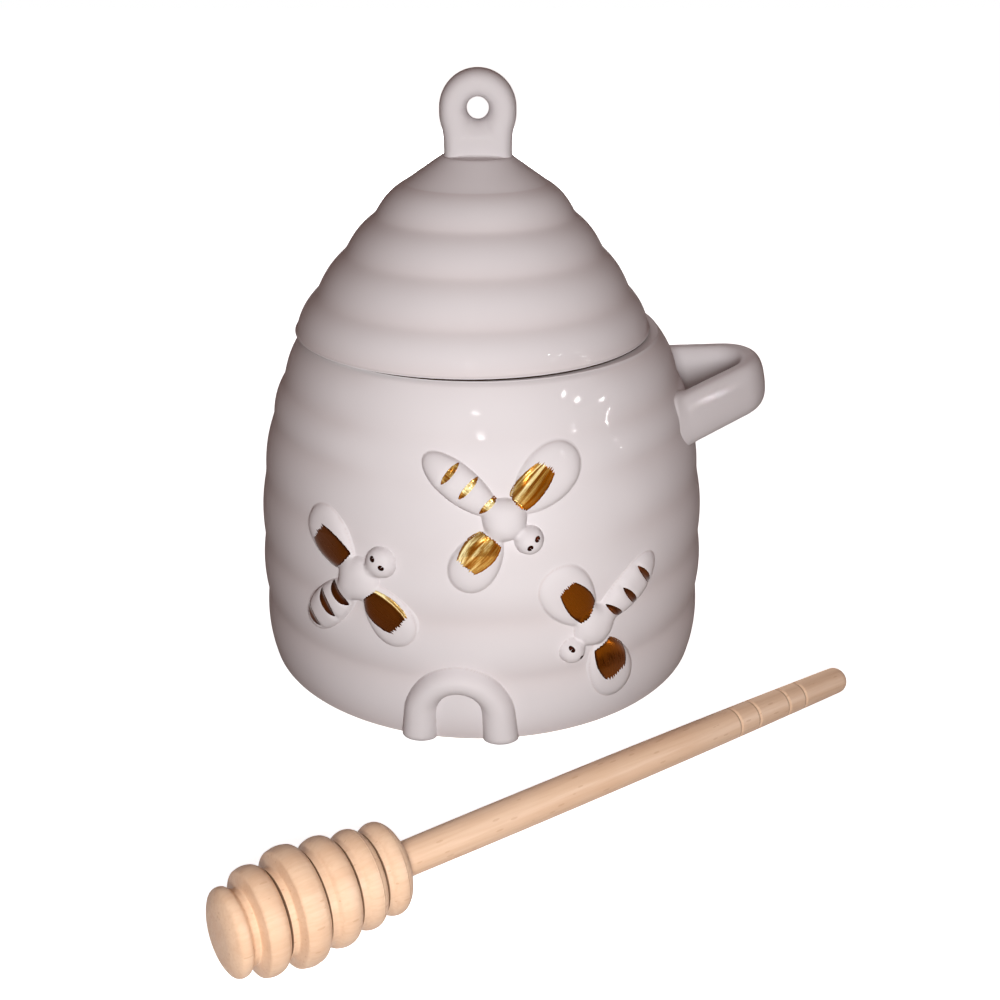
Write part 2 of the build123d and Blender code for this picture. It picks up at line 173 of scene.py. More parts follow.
# ---- Bees -----------------------------------------------------------------------
# Places are steps (forward, left) along the wall from the bee's own place, which is given by
# azimuth, height and heading. Thorax and abdomen have a step forward, half length and half
# width, the head two steps and a radius, each wing its offset outwards, shift forwards, lean,
# half length and half width, and each stripe its two ends.
BEES = {
    "bee_top": {
        "place": (6.0, 52.907, -39.0), "head": (6.9, -0.4, 3.1),
        "thorax": (0.0, 4.7, 4.5), "abdomen": (-11.6, 9.3, 4.0),
        "left": (11.9, 0.0, 9.0, 8.8, 5.7), "right": (10.6, 0.0, 6.0, 7.5, 4.9),
        "stripes": (
            ((-14.6, -2.1), (-14.6, 3.8)), ((-10.1, -2.2), (-9.9, 4.0)), ((-5.0, -2.1), (-4.4, 3.5)))},
    "bee_left": {
        "place": (-27.6, 37.905, 46.0), "head": (6.0, -0.5, 3.5),
        "thorax": (-1.4, 5.4, 4.8), "abdomen": (-12.6, 9.6, 4.4),
        "left": (10.6, -1.3, 0.0, 8.0, 5.2), "right": (10.2, 0.0, -9.0, 7.6, 5.2),
        "stripes": (
            ((-18.8, -2.4), (-18.3, 3.6)), ((-12.5, -3.0), (-11.4, 3.9)), ((-7.5, -3.1), (-7.4, 3.5)))},
    "bee_right": {
        "place": (26.8, 25.903, -144.5), "head": (6.7, 0.9, 3.0),
        "thorax": (-0.4, 5.0, 4.6), "abdomen": (-11.8, 9.6, 4.1),
        "left": (12.3, 0.0, 12.0, 8.3, 5.4), "right": (9.7, 0.0, -2.0, 8.0, 5.8),
        "stripes": (
            ((-16.0, -2.9), (-16.1, 3.5)), ((-10.3, -2.5), (-10.6, 4.0)), ((-5.2, -2.4), (-6.5, 3.2)))},
}
# A dome's rise, power and edge.
THORAX_DOME = (2.9, 2.5, 0.6)
HEAD_DOME = (2.9, 2.2, 0.55)
ABDOMEN_DOME = (2.3, 2.8, 0.55)
WING_DOME = (1.6, 4.2, 0.6)
# How much wider one end of the abdomen and of a wing is.
ABDOMEN_EGG = 0.1
WING_EGG = 0.2
STRIPE_GROOVE_DEPTH = 0.16
STRIPE_GROOVE_WIDTH = 0.8
# Where lumps meet each other and the wall, and where a relief ends.
LUMP_SINK = 0.4
DOME_FALL = 6.0
CREASE_ROUND = 0.22
LUMP_MELT = 0.75
RELIEF_SINK = 0.012
RELIEF_DIP = 0.3
RELIEF_GONE = (-1.2, -0.5)
RELIEF_DEPTH = 0.6
# CREASE_AT and CREASE_SPREAD place painted shade in the crease round a relief: its height over the wall
# and its spread.
CREASE_AT = 0.28
CREASE_SPREAD = 0.13
BEE_ENDS = (-23.0, 11.0)
BEE_HALF_WIDTHS = (9.0, 22.3)
BEE_WIDENS_BY = 0.45
BEE_GRID = (160, 200)

# ---- Gold lustre ----------------------------------------------------------------
# Each wing's patch has its corners as steps (forward, left), two on its root edge and two on
# its tip edge, then how ragged its tip is, and how bright the gold's painted reflection lies at
# its first side, at its second side and along the very edge of the first, where it is a painted
# highlight.
PATCHES = {
    "bee_top": (((-2.5, 4.7), (2.3, 4.1), (-2.0, 13.2), (2.3, 13.8), 0.08, 1.0, 0.1, 0.0),
                ((2.9, -4.8), (-2.6, -4.9), (2.3, -12.6), (-2.7, -12.3), 0.08, 0.35, 0.95, 0.0)),
    "bee_left": (((-5.0, 5.0), (1.4, 5.0), (-4.8, 12.6), (0.1, 13.5), 0.09, 0.030, 0.034, 0.0),
                 ((1.0, -4.4), (-4.3, -4.6), (2.5, -12.6), (-3.2, -13.3), 0.08, 0.036, 0.032, 2.0)),
    "bee_right": (((-3.8, -4.9), (1.5, -3.8), (-3.1, -12.7), (1.2, -12.4), 0.08, 0.048, 0.06, 0.0),
                  ((3.0, 4.9), (-3.4, 6.5), (5.4, 13.2), (0.0, 14.1), 0.10, 0.062, 0.05, 0.0)),
}
# The stripes' glow is a painted reflection: bright on the top bee, dark on the other two.
STRIPE_GLOW = {"bee_top": 0.85, "bee_left": 0.028, "bee_right": 0.035}
STRIPE_WIDTH = {"bee_top": 1.45, "bee_left": 2.5, "bee_right": 1.7}
EYES = {
    "bee_top": ((7.4, 0.9), (7.3, -1.4)),
    "bee_left": ((6.4, 1.1), (6.7, -1.5)),
    "bee_right": ((6.6, -0.8), (6.25, 2.6)),
}
EYE_SIZE = (0.58, 0.72)
EYE_GRID = (7, 21)
GOLD_LIFT = 0.05
GOLD_TUCK = 0.02
GOLD_BURIAL = 0.05
# How bright a patch's painted reflection is at its rim, over what shares of the patch it darkens, and
# where the painted highlight along its edge fades.
GOLD_RIM = 0.3
SIDE_RIM, ROOT_RIM = 0.09, 0.06
BRIGHT_EDGE = (0.078, 0.13)
PATCH_ROWS, PATCH_COLUMNS = 56, 110
PATCH_TEETH, SWAY_TEETH = 19, 14
PATCH_BULGE, BULGE_POWER = 0.17, 0.8
ROOT_TEAR, ROOT_HOLLOW = 0.03, 0.05
TIP_SWELL = 0.04
SIDE_SWAY = 0.012
# Teeth of the torn edges: how far off their even places and how deep.
TOOTH_SHIFT = 0.3
TOOTH_DEPTHS = (0.1, 1)
NOTCH_DEPTH = -0.5
FINE_TEETH, FINE_DEPTH = 3, 0.2
STRIPE_GRID = (40, 14)
STRIPE_POINT = (2.2, 0.75)
STRIPE_THIN_END = 0.02
STRIPE_END_GLOW, STRIPE_GLOW_POWER = 0.15, 1.6
STRIPE_BRUSHED = (0.03, 0.04)
BEE_SEEDS, PATCH_SEEDS = 10, 5

# ---- Dipper -------------------------------------------------------------------
# Places along it are measured from the head's end.
DIPPER_PLACE = (-42.3, -124.6)
DIPPER_AZIMUTH = 35.6
DIPPER_LENGTH = 157.0
DISC_RADII = (7.7, 9.45, 10.5, 9.8, 9.0, 8.5)
DISC_STARTS = (1.0, 5.1, 11.4, 18.4, 24.4, 29.8)
DISC_ENDS = (3.8, 9.7, 16.6, 22.9, 28.4, 33.6)
DISC_CROWN = 1.0
# A disc's bends in from its rim and from its front or back, and how round each is, and the
# corners of the domed end as radius, place along the head and how round.
DISC_FRONT = ((0.45, 0.65, 0.4),)
DISC_BACK = ((0.35, 0.8, 0.5), (1.1, 0.0, 0.3))
DISC_RIM_CUT, GROOVE_CUT = 0.8, 0.25
DOMED_END = ((0, 0, 0), (5.2, 0.25, 1.6), (7.75, 1.6, 1.1), (7.5, 3.2, 0.5), (6.6, 3.9, 0.4))
GROOVE_FLOORS = (6.4, 7.7, 8.5, 8.0, 7.3)
SLIT_DEPTH = 2.4
SLIT_WIDTH = 0.5
SLIT_START, SLIT_CUT, SLIT_SHADE = 0.05, 0.1, 0.12
# Corners past a slit's far side: how far past, and the cut.
SLIT_LIPS = ((0.1, 0.08), (0.3, 0.05))
HEAD_LENGTH = 35.0
HEAD_COLLAR_RADIUS = 5.0
HEAD_COLLAR_CUT, BORE_CUT = 0.7, 0.1
HEAD_STEP = 0.8
HANDLE_RADII = (3.25, 3.5, 3.0)
HANDLE_TIP_ROUND = 2.4
TENON_LENGTH = 18.0
TENON_GAP = 0.05
HEAD_COLUMNS, HANDLE_COLUMNS = 96, 64
HANDLE_ROWS, TIP_ROWS = 110, 10
SCORES_FROM_TIP = np.array([15.4, 21.0, 30.6, 36.5])
SCORE_DEPTH = 0.35
SCORE_WIDTH = 0.8
SCORE_REACH, SCORE_ROWS = 1.2, 17
SCORE_SHADE = 0.4


# ---- Grids and meshes -----------------------------------------------------------
def faces_of_grid(rows, columns, around=False, along=False):
    """Quads between neighbouring points of a grid, joined round its columns or rows if asked."""
    row = np.arange(rows if along else rows - 1)[:, None]
    column = np.arange(columns if around else columns - 1)[None, :]
    next_row, next_column = (row + 1) % rows, (column + 1) % columns
    corners = (row * columns + column, row * columns + next_column,
               next_row * columns + next_column, next_row * columns + column)
    return np.stack(np.broadcast_arrays(*corners), axis=-1).reshape(-1, 4)


def make_piece(name, shells, finish, body, node):
    """One piece from closed shells, each of points in mm, quads and named fields on its points."""
    sizes = np.cumsum([0] + [shell[0].size // 3 for shell in shells])
    points = np.concatenate([shell[0].reshape(-1, 3) for shell in shells]) * MM
    quads = np.concatenate([shell[1] + start for shell, start in zip(shells, sizes)])
    mesh = bpy.data.meshes.new(name)
    mesh.from_pydata(points.tolist(), [], quads.tolist())
    for label in shells[0][2]:
        layer = mesh.attributes.new(label, "FLOAT", "POINT")
        values = [np.broadcast_to(shell[2][label], shell[0].shape[:-1]).ravel() for shell in shells]
        layer.data.foreach_set("value", np.concatenate(values).astype(np.float32))
    welded = bmesh.new()
    welded.from_mesh(mesh)
    bmesh.ops.remove_doubles(welded, verts=welded.verts, dist=WELD)
    bmesh.ops.dissolve_degenerate(welded, edges=welded.edges, dist=WELD)
    bmesh.ops.recalc_face_normals(welded, faces=welded.faces)
    welded.to_mesh(mesh)
    welded.free()
    mesh.shade_smooth()
    mesh.materials.append(finish)
    piece = bpy.data.objects.new(name, mesh)
    bpy.context.scene.collection.objects.link(piece)
    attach(piece, body)
    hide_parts(node)


def rounded(corners, steps=6):
    """An outline through (radius, height, cut) corners, each bent as a parabola between its cuts."""
    corners = np.array(corners, dtype=float)
    here = corners[1:-1, :2]
    before, after = corners[:-2, :2] - here, corners[2:, :2] - here
    start = here + before / np.linalg.norm(before, axis=1, keepdims=True) * corners[1:-1, 2:]
    end = here + after / np.linalg.norm(after, axis=1, keepdims=True) * corners[1:-1, 2:]
    t = np.linspace(0, 1, steps)[None, :, None]
    bends = (1 - t) ** 2 * start[:, None] + 2 * t * (1 - t) * here[:, None] + t**2 * end[:, None]
    return np.concatenate((corners[:1, :2], bends.reshape(-1, 2), corners[-1:, :2]))


def evenly(outline, spacing):
    """The same outline with more points, no further apart than the spacing along it."""
    steps = np.linalg.norm(np.diff(outline, axis=0), axis=1)
    travel = np.concatenate(([0.0], np.cumsum(steps)))
    stops = np.unique(np.round(np.concatenate((travel, np.arange(0, travel[-1], spacing))), 2))
    stops = np.append(stops[stops < travel[-1] - LEAST_STEP], travel[-1])
    return np.stack([np.interp(stops, travel, outline[:, axis]) for axis in (0, 1)], axis=-1)


def curve_through(points, steps=9):
    """A smooth curve through points, each span a cubic whose ends slope as its neighbours lie."""
    points = np.array(points, dtype=float)
    padded = np.concatenate((2 * points[:1] - points[1:2], points, 2 * points[-1:] - points[-2:-1]))
    a, b, c, d = (padded[i:len(padded) - 3 + i, None] for i in range(4))
    t = np.arange(steps)[None, :, None] / steps
    square, cube = a - 2.5 * b + 2 * c - d / 2, 1.5 * (b - c) + (d - a) / 2
    spans = b + t * (c - a) / 2 + t**2 * square + t**3 * cube
    return np.concatenate((spans.reshape(-1, 2), points[-1:]))


def superellipse(way, squareness):
    """A sine or cosine drawn towards its ends: its size raised to two over the squareness."""
    return np.sign(way) * np.abs(way) ** (2 / squareness)


def s_curve(low, high, value):
    """Nought below low, one above high, and the cubic 3t^2 - 2t^3 between them."""
    share = np.clip((value - low) / (high - low), 0, 1)
    return share * share * (3 - 2 * share)


# ---- The coiled wall ------------------------------------------------------------
def hive_radius(height):
    """One less a power of the way from belly to closing, raised to the taper, of the belly's radius."""
    rise = np.abs(height - BELLY_HEIGHT) / (CLOSING_HEIGHT - BELLY_HEIGHT)
    return BELLY_RADIUS * (1 - rise**ROUNDNESS) ** TAPER


def hive_lean(height):
    """Outward and upward parts of the hive's unit normal, from the slope of its radius."""
    slope = (hive_radius(height + SLOPE_STEP) - hive_radius(height - SLOPE_STEP)) / (2 * SLOPE_STEP)
    return 1 / np.hypot(1, slope), -slope / np.hypot(1, slope)


def inset(heights, wall):
    """Points one wall's thickness inside the hive at some heights."""
    out, up = hive_lean(heights)
    return np.stack((hive_radius(heights) - wall * out, heights - wall * up), axis=-1)


def coils(stops, filled=False):
    """Coils between stops, each chord bowed by a parabola whose foot is rounded off in the grooves.

    Filled coils stand off by an even share of the bow instead.
    """
    share = np.arange(COIL_ROWS)[None, :, None] / COIL_ROWS
    low, chord = stops[:-1, None], np.diff(stops, axis=0)[:, None]
    out = chord[..., ::-1] * (1, -1) / np.linalg.norm(chord, axis=-1, keepdims=True)
    soft = np.full((len(chord), COIL_ROWS, 1), GROOVE_SOFTNESS)
    soft[0, :COIL_ROWS // 2] = OPEN_SOFTNESS
    soft[-1, COIL_ROWS // 2:] = OPEN_SOFTNESS
    bow = 4 * share * (1 - share)
    swell = (np.sqrt(bow**2 + soft**2) - soft) / (np.sqrt(1 + soft**2) - soft)
    depth = np.where(soft == OPEN_SOFTNESS, 1.0, GROOVE_DEPTH)
    swell = 1 - depth * (1 - swell)
    swell = np.full_like(swell, FILLED_SWELL) if filled else swell
    bowed = low + chord * share + out * COIL_BULGE * swell
    return np.concatenate((bowed.reshape(-1, 2), stops[-1:])), np.append(1 - swell.ravel(), 0.0)


def pot_stops():
    """The pot's shoulder above its foot, its grooves and the side of its rim."""
    heights = np.concatenate(([FOOT_ROUND], POT_GROOVES, [SEAM_HEIGHT - EDGE_ROUND]))
    return np.stack((hive_radius(heights), heights), axis=-1)


def foot_bend():
    """The quarter round from the foot ring up to the shoulder."""
    turn = np.linspace(-np.pi / 2, 0, FOOT_STEPS)[:-1]
    centre = hive_radius(FOOT_ROUND) - FOOT_ROUND
    return np.stack((centre + FOOT_ROUND * np.cos(turn), FOOT_ROUND * (1 + np.sin(turn))), axis=-1)


GROOVED = np.concatenate((foot_bend(), coils(pot_stops())[0]))
FILLED = np.concatenate((foot_bend(), coils(pot_stops(), filled=True)[0]))
# How deep in a groove each point of the pot's outline lies; it darkens the glaze there, partly as pooled
# glaze and partly as painted shade.
GROOVE_SHARE = np.concatenate((np.zeros(len(foot_bend())), coils(pot_stops())[1]))


def fade(facing, height):
    """How far the grooves are filled by the glaze: most round the bees, on the upper coils."""
    off_front = np.abs((np.degrees(facing) - FADE_CENTRE + 180) % 360 - 180)
    return FADE_DEPTH * (1 - s_curve(*FADE_AZIMUTHS, off_front)) * s_curve(*FADE_HEIGHTS, height)


def smooth_radius(height):
    """The pot's radius as if every groove were filled."""
    return np.interp(height, FILLED[:, 1], FILLED[:, 0])


def pot_radius(facing, height):
    """The pot's radius: its grooved outline, drawn towards the filled one by the fade."""
    faded = fade(facing, height)
    return (1 - faded) * np.interp(height, GROOVED[:, 1], GROOVED[:, 0]) + faded * smooth_radius(height)


def on_wall(facing, height, lift):
    """A point over the filled wall at an azimuth and height, lifted along the hive's normal."""
    out, up = hive_lean(height)
    reach = smooth_radius(height) + lift * out
    return np.stack((reach * np.sin(facing), -reach * np.cos(facing), height + lift * up), axis=-1)


def dome(reach, rise, power, edge):
    """A dome of a rise over the share of the way out: one less a power of it, raised to the edge.

    Past its foot it falls away in a straight line.
    """
    top = rise * (1 - np.clip(reach, 0, 1) ** power) ** edge
    return np.where(reach < 1, top, -DOME_FALL * rise * (reach - 1))


def run_together(heights, rounding):
    """Surfaces run together: the logarithm of the sum of their exponentials, over the rounding."""
    return rounding * np.log(sum(np.exp(height / rounding) for height in heights))


def melded(facing, height, lumps):
    """Height over the filled wall of lumps run together, and then with the real wall.

    Away from the lumps the sheet dips under the wall.
    """
    ground = (pot_radius(facing, height) - smooth_radius(height)) * hive_lean(height)[0]
    relief = run_together(lumps, LUMP_MELT)
    gone = 1 - s_curve(*RELIEF_GONE, relief - ground)
    return run_together((ground, relief), CREASE_ROUND) - RELIEF_SINK - RELIEF_DIP * gone


def creased(lift):
    """How near a height over the wall lies to the crease round a relief, where shade is painted into the
    glaze.
    """
    return np.exp(-((lift - CREASE_AT) / CREASE_SPREAD) ** 2)


def pillow(top, under, fields):
    """A closed shell of two sheets on one grid that share their border points."""
    edge = np.ones(top.shape[:2] + (1,), dtype=bool)
    edge[1:-1, 1:-1] = False
    under = np.where(edge, top, under)
    rows, columns = top.shape[:2]
    points = np.concatenate((top, under[::-1]))
    full = {name: np.broadcast_to(values, top.shape[:2]) for name, values in fields.items()}
    doubled = {name: np.concatenate((values, values[::-1])) for name, values in full.items()}
    return points, faces_of_grid(2 * rows, columns, along=True), doubled


# ---- Pot ------------------------------------------------------------------------
def pot_shell():
    """The jar: an outline from under its floor, up its coiled wall and down inside, swung round.

    Its seat carries a dark ring of painted shade just inside the edge of the lid that stands on it.
    """
    turn = np.linspace(0, 2 * np.pi, COLUMNS, endpoint=False)[None]
    ring = hive_radius(FOOT_ROUND) - FOOT_ROUND
    rim = hive_radius(SEAM_HEIGHT)
    under = evenly(rounded((
        (0, FOOT_RECESS, 0), (ring - FOOT_RING_WIDTH - FOOT_RECESS, FOOT_RECESS, FOOT_CUT),
        (ring - FOOT_RING_WIDTH, 0, FOOT_CUT), (ring, 0, 0))), UNDER_STEP)[:-1]
    cavity_foot = inset(np.array([FLOOR_HEIGHT + FLOOR_CORNER]), POT_WALL)[0]
    lip = evenly(rounded((
        (rim, SEAM_HEIGHT - EDGE_ROUND, 0), (rim, SEAM_HEIGHT, EDGE_ROUND),
        (MOUTH_RADIUS, SEAM_HEIGHT, MOUTH_CUT),
        (MOUTH_RADIUS, SEAM_HEIGHT - RIM_DEPTH, 0))), LIP_STEP)
    wall = curve_through((
        (MOUTH_RADIUS, SEAM_HEIGHT - RIM_DEPTH), *inset(POT_CAVITY, POT_WALL)[::-1], cavity_foot))
    base = evenly(rounded((
        (*cavity_foot, 0), (cavity_foot[0], FLOOR_HEIGHT, FLOOR_CORNER_CUT), (0, FLOOR_HEIGHT, 0)),
        steps=10), FLOOR_STEP)
    inside = np.concatenate((lip[1:-1], wall[:-1], base))
    radii = np.concatenate((
        np.broadcast_to(under[:, :1], (len(under), COLUMNS)),
        pot_radius(turn, GROOVED[:, 1:]),
        np.broadcast_to(inside[:, :1], (len(inside), COLUMNS))))
    heights = np.concatenate((under[:, 1:], GROOVED[:, 1:], inside[:, 1:]))
    # Darker glaze in the grooves where they are not filled: partly pooled glaze, partly painted shade.
    pool_shade = np.concatenate((
        np.zeros((len(under), COLUMNS)),
        GROOVE_SHARE[:, None] * (1 - fade(turn, GROOVED[:, 1:])),
        np.zeros((len(inside), COLUMNS))))
    # The seat's dark ring is painted shade where the seam between lid and pot runs.
    from_lid = np.hypot(radii * np.sin(turn) - LID_SHIFT, radii * np.cos(turn)) - rim
    on_rim = heights > SEAM_HEIGHT - LEVEL_SLACK
    seat = on_rim * (1 - s_curve(*SEAT_END, from_lid)) * s_curve(*SEAT_START, from_lid)
    points = np.stack(np.broadcast_arrays(radii * np.sin(turn), -radii * np.cos(turn), heights), axis=-1)
    return points, faces_of_grid(len(points), COLUMNS, around=True), {"pool_shade": pool_shade, "seat": seat}


# ---- Lid ------------------------------------------------------------------------
def lid_shell():
    """The lid: an outline from its crown down its coils and up inside, swung round a leaning axis."""
    seat = SEAM_HEIGHT + LID_GAP
    heights = np.concatenate(([seat + EDGE_ROUND], LID_GROOVES))
    stops = np.stack((hive_radius(heights), heights), axis=-1)
    side, groove = coils(stops)
    crown = evenly(np.array([(0, CROWN_HEIGHT), *CROWN_CONE, side[-1]]), CROWN_STEP)[:-1]
    rim = hive_radius(SEAM_HEIGHT)
    under = evenly(rounded((
        (rim, seat + EDGE_ROUND, 0), (rim, seat, EDGE_ROUND), (FLANGE_RADIUS, seat, FLANGE_CUTS[0]),
        (FLANGE_RADIUS, FLANGE_FOOT, FLANGE_CUTS[1]), (FLANGE_BORE, FLANGE_FOOT, FLANGE_CUTS[1]),
        (FLANGE_BORE, seat, 0))), SEAT_STEP)
    top = CROWN_HEIGHT - LID_WALL
    hollow = curve_through((
        (FLANGE_BORE, seat), *inset(LID_CAVITY, LID_WALL), (CROWN_RADIUS, top - HOLLOW_DROP), (0, top)))
    outline = np.concatenate((crown, side[::-1], under[1:-1], hollow))
    # Darker glaze in the lid's grooves: partly pooled glaze, partly painted shade.
    pool_shade = np.zeros(len(outline))
    pool_shade[len(crown):len(crown) + len(side)] = groove[::-1]
    turn = np.linspace(0, 2 * np.pi, COLUMNS, endpoint=False)[None]
    radius, height = outline[:, :1], outline[:, 1:]
    shift = LID_SHIFT + LID_LEAN * (height - SEAM_HEIGHT)
    points = np.stack(np.broadcast_arrays(
        shift + radius * np.sin(turn), -radius * np.cos(turn), height), axis=-1)
    # The mask named bare marks the lid's dark ring of painted shade at the seat.
    bare = (height < seat + LEVEL_SLACK) * s_curve(*SEAT_START, radius - rim)
    return points, faces_of_grid(len(points), COLUMNS, around=True), {"pool_shade": pool_shade[:, None], "seat": bare}


def knob_shells():
    """The pierced knob and the cove where its neck meets the crown.

    The knob is a rounded section carried round its hole: the section reaches from the hole to
    an outline that is a circle above and the neck's two sides below, and its thickness follows
    a superellipse across that reach. The cove is a quarter hollow carried round the neck.
    """
    turn = np.linspace(0, 2 * np.pi, KNOB_GRID[0], endpoint=False)[:, None]
    side, rise = np.cos(turn), np.sin(turn)
    to_side = NECK_HALF_WIDTH / np.maximum(np.abs(side), LEAST_SLANT)
    to_foot = NECK_REACH / np.maximum(-rise, LEAST_SLANT)
    stem = -run_together((-to_side, -to_foot), NECK_BLEND)
    neck = run_together((stem, 0 * stem + KNOB_RADIUS), NECK_BLEND) - KNOB_RADIUS
    outline = KNOB_RADIUS + neck * s_curve(0, NECK_STARTS_OVER, -rise)
    way = np.linspace(0, 2 * np.pi, KNOB_GRID[1], endpoint=False)[None]
    across = superellipse(np.cos(way), KNOB_SQUARENESS)
    depth = superellipse(np.sin(way), KNOB_SQUARENESS)
    reach = (outline + KNOB_HOLE_RADIUS) / 2 + (outline - KNOB_HOLE_RADIUS) / 2 * across
    knob = np.stack(np.broadcast_arrays(
        KNOB_X + reach * side, KNOB_HALF_THICKNESS * depth, KNOB_HEIGHT + reach * rise), axis=-1)
    bend = np.linspace(0, np.pi / 2, COVE_STEPS)
    off = np.concatenate((COVE_WIDTH * (1 - np.sin(bend)), [COVE_BACK, COVE_BACK]))[None]
    up = np.concatenate((COVE_HEIGHT * (1 - np.cos(bend)) - COVE_SINK, [COVE_HEIGHT, COVE_FOOT]))[None]
    x = (NECK_HALF_WIDTH - COVE_INSETS[0] + COVE_SIDE_SHARE * off) * superellipse(side, NECK_SQUARENESS)
    y = (KNOB_HALF_THICKNESS - COVE_INSETS[1] + off) * superellipse(rise, NECK_SQUARENESS)
    crown = np.interp(np.hypot(x, y), *np.transpose(CROWN_CONE))
    cove = np.stack(np.broadcast_arrays(KNOB_X + x, y, crown + up), axis=-1)
    fields = {"pool_shade": 0.0}
    return [(knob, faces_of_grid(*knob.shape[:2], around=True, along=True), fields),
            (cove, faces_of_grid(*cove.shape[:2], around=True, along=True), fields)]


# ---- Side loop --------------------------------------------------------------------
def loop_shell():
    """The strap: a superellipse carried along an arm, round the tip and back into the wall.

    Close to the wall the section spreads by a share of the square of how close it is, and
    most along its underside.
    """
    facing, spread, tilt = np.radians((LOOP_AZIMUTH, LOOP_ROOT_SPREAD, LOOP_TILT))
    root = hive_radius(LOOP_ROOT_HEIGHT) - LOOP_ROOT_DEPTH
    start, half_span = root * np.cos(spread), root * np.sin(spread)
    outward = np.array([np.sin(facing), -np.cos(facing), 0])
    forth = outward * np.cos(tilt) + np.array([0, 0, np.sin(tilt)])
    across = np.array([np.cos(facing), np.sin(facing), 0])
    upright = np.cross(across, forth)
    centre = hive_radius(LOOP_ROOT_HEIGHT) + LOOP_PROUD - STRAP_THICKNESS / 2 - LOOP_TIP_BEND - start
    arm = np.arctan2(half_span, centre) - np.arcsin(LOOP_TIP_BEND / np.hypot(half_span, centre))
    run = np.hypot(centre + LOOP_TIP_BEND * np.sin(arm), half_span - LOOP_TIP_BEND * np.cos(arm))
    bend = np.linspace(-np.pi / 2 + arm, np.pi / 2 - arm, TIP_STEPS)
    tip = np.stack((centre + LOOP_TIP_BEND * np.cos(bend), LOOP_TIP_BEND * np.sin(bend)), axis=-1)
    reach = np.concatenate((
        np.arange(-LOOP_OVERRUN, ROOT_RUN, ROOT_STEP), np.linspace(ROOT_RUN, run, ARM_STEPS)[:-1]))
    near = np.stack((reach * np.cos(arm), -half_span + reach * np.sin(arm)), axis=-1)
    path = np.concatenate((near, tip, near[::-1] * (1, -1)))
    heading = np.concatenate((
        np.full(len(near), arm), bend + np.pi / 2, np.full(len(near), np.pi - arm)))[:, None]
    turn = np.linspace(0, 2 * np.pi, STRAP_COLUMNS, endpoint=False)[None]
    high = STRAP_HEIGHT / 2 * superellipse(np.sin(turn), STRAP_SQUARENESS)
    wide = STRAP_CROWNED / 2 * superellipse(np.cos(turn), STRAP_SQUARENESS)
    ends = np.ones((len(path), 1))
    ends[[0, -1]] = 0
    base = outward * start + np.array([0, 0, LOOP_ROOT_HEIGHT])

    def placed(wide, high):
        """Points of the section, as wide and high from the path's middle line as asked."""
        x = path[:, :1] + wide * np.sin(heading)
        y = path[:, 1:] - wide * np.cos(heading)
        return base + x[..., None] * forth + y[..., None] * across + high[..., None] * upright

    points = placed(wide, high)
    wall = pot_radius(np.arctan2(points[..., 0], -points[..., 1]), points[..., 2])
    clear = np.hypot(points[..., 0], points[..., 1]) - wall
    swell = ROOT_SPREAD * np.clip(1 - clear / ROOT_REACH, 0, 1) ** 2
    swell = swell * (1 + ROOT_DROP * np.clip(-np.sin(turn), 0, 1))
    points = placed((wide + swell * np.cos(turn)) * ends, (high + swell * np.sin(turn)) * ends)
    return points, faces_of_grid(*points.shape[:2], around=True), {"pool_shade": 0.0}


# ---- Doorway ----------------------------------------------------------------------
def door_shell():
    """The raised arch: a dome across the distance to its line, two legs under half a ring.

    The arch narrows upwards, and over its top the band is thinner and its outer edge softer.
    """
    around = np.linspace(-DOOR_EXTENT[0], DOOR_EXTENT[0], DOOR_GRID[0])[:, None]
    height = np.linspace(0, 1, DOOR_GRID[1])[None] ** DOOR_ROW_POWER * DOOR_EXTENT[1]
    drawn = around * (1 + DOOR_TAPER * (height - DOOR_SPRING))
    from_centre = np.hypot(drawn, height - DOOR_SPRING)
    legs = np.abs(np.abs(drawn) - DOOR_HALF_SPAN)
    ring = np.abs(from_centre - DOOR_HALF_SPAN)
    away = np.where(height > DOOR_SPRING, ring, legs)
    toe = np.clip(height / DOOR_TOE, 0, 1)
    toe = (1 - (1 - toe) ** DOOR_TOE_POWER) ** (1 / DOOR_TOE_POWER)
    above = s_curve(0, DOOR_TOP_OVER, height - DOOR_SPRING) * (from_centre > DOOR_HALF_SPAN)
    half_band = DOOR_HALF_BAND - DOOR_THIN_TOP * above
    power, edge = DOOR_POWERS
    band = dome(away / half_band, DOOR_PROUD, power, edge + DOOR_SOFT_TOP * above)
    band = band * np.where(away < half_band, toe, 1)
    facing = np.radians(DOOR_AZIMUTH) + around / BELLY_RADIUS
    lift = melded(facing, height, (band,))
    lift = np.where(height < DOOR_SOLE, -RELIEF_SINK, lift)
    facing, height = np.broadcast_arrays(facing, height)
    top = on_wall(facing, height, lift)
    under = on_wall(facing, height, np.full_like(lift, -RELIEF_DEPTH))
    under[..., 2] = np.maximum(under[..., 2], DOOR_CLEARANCE)
    # Painted shade, partly pooled glaze, in the crease round the arch.
    return pillow(top, under, {"pool_shade": creased(lift)})


# ---- Bees ---------------------------------------------------------------------------
def near_bee(bee, forward, side):
    """Azimuth and height of a place stepped off along the wall from a bee's own place."""
    azimuth, base, heading = BEES[bee]["place"]
    turn = np.radians(heading)
    around = forward * np.cos(turn) - side * np.sin(turn)
    up = forward * np.sin(turn) + side * np.cos(turn)
    height = base + up * hive_lean(base + up / 2)[0]
    return np.radians(azimuth) + around / (hive_radius(height) + LUMP_SINK), height


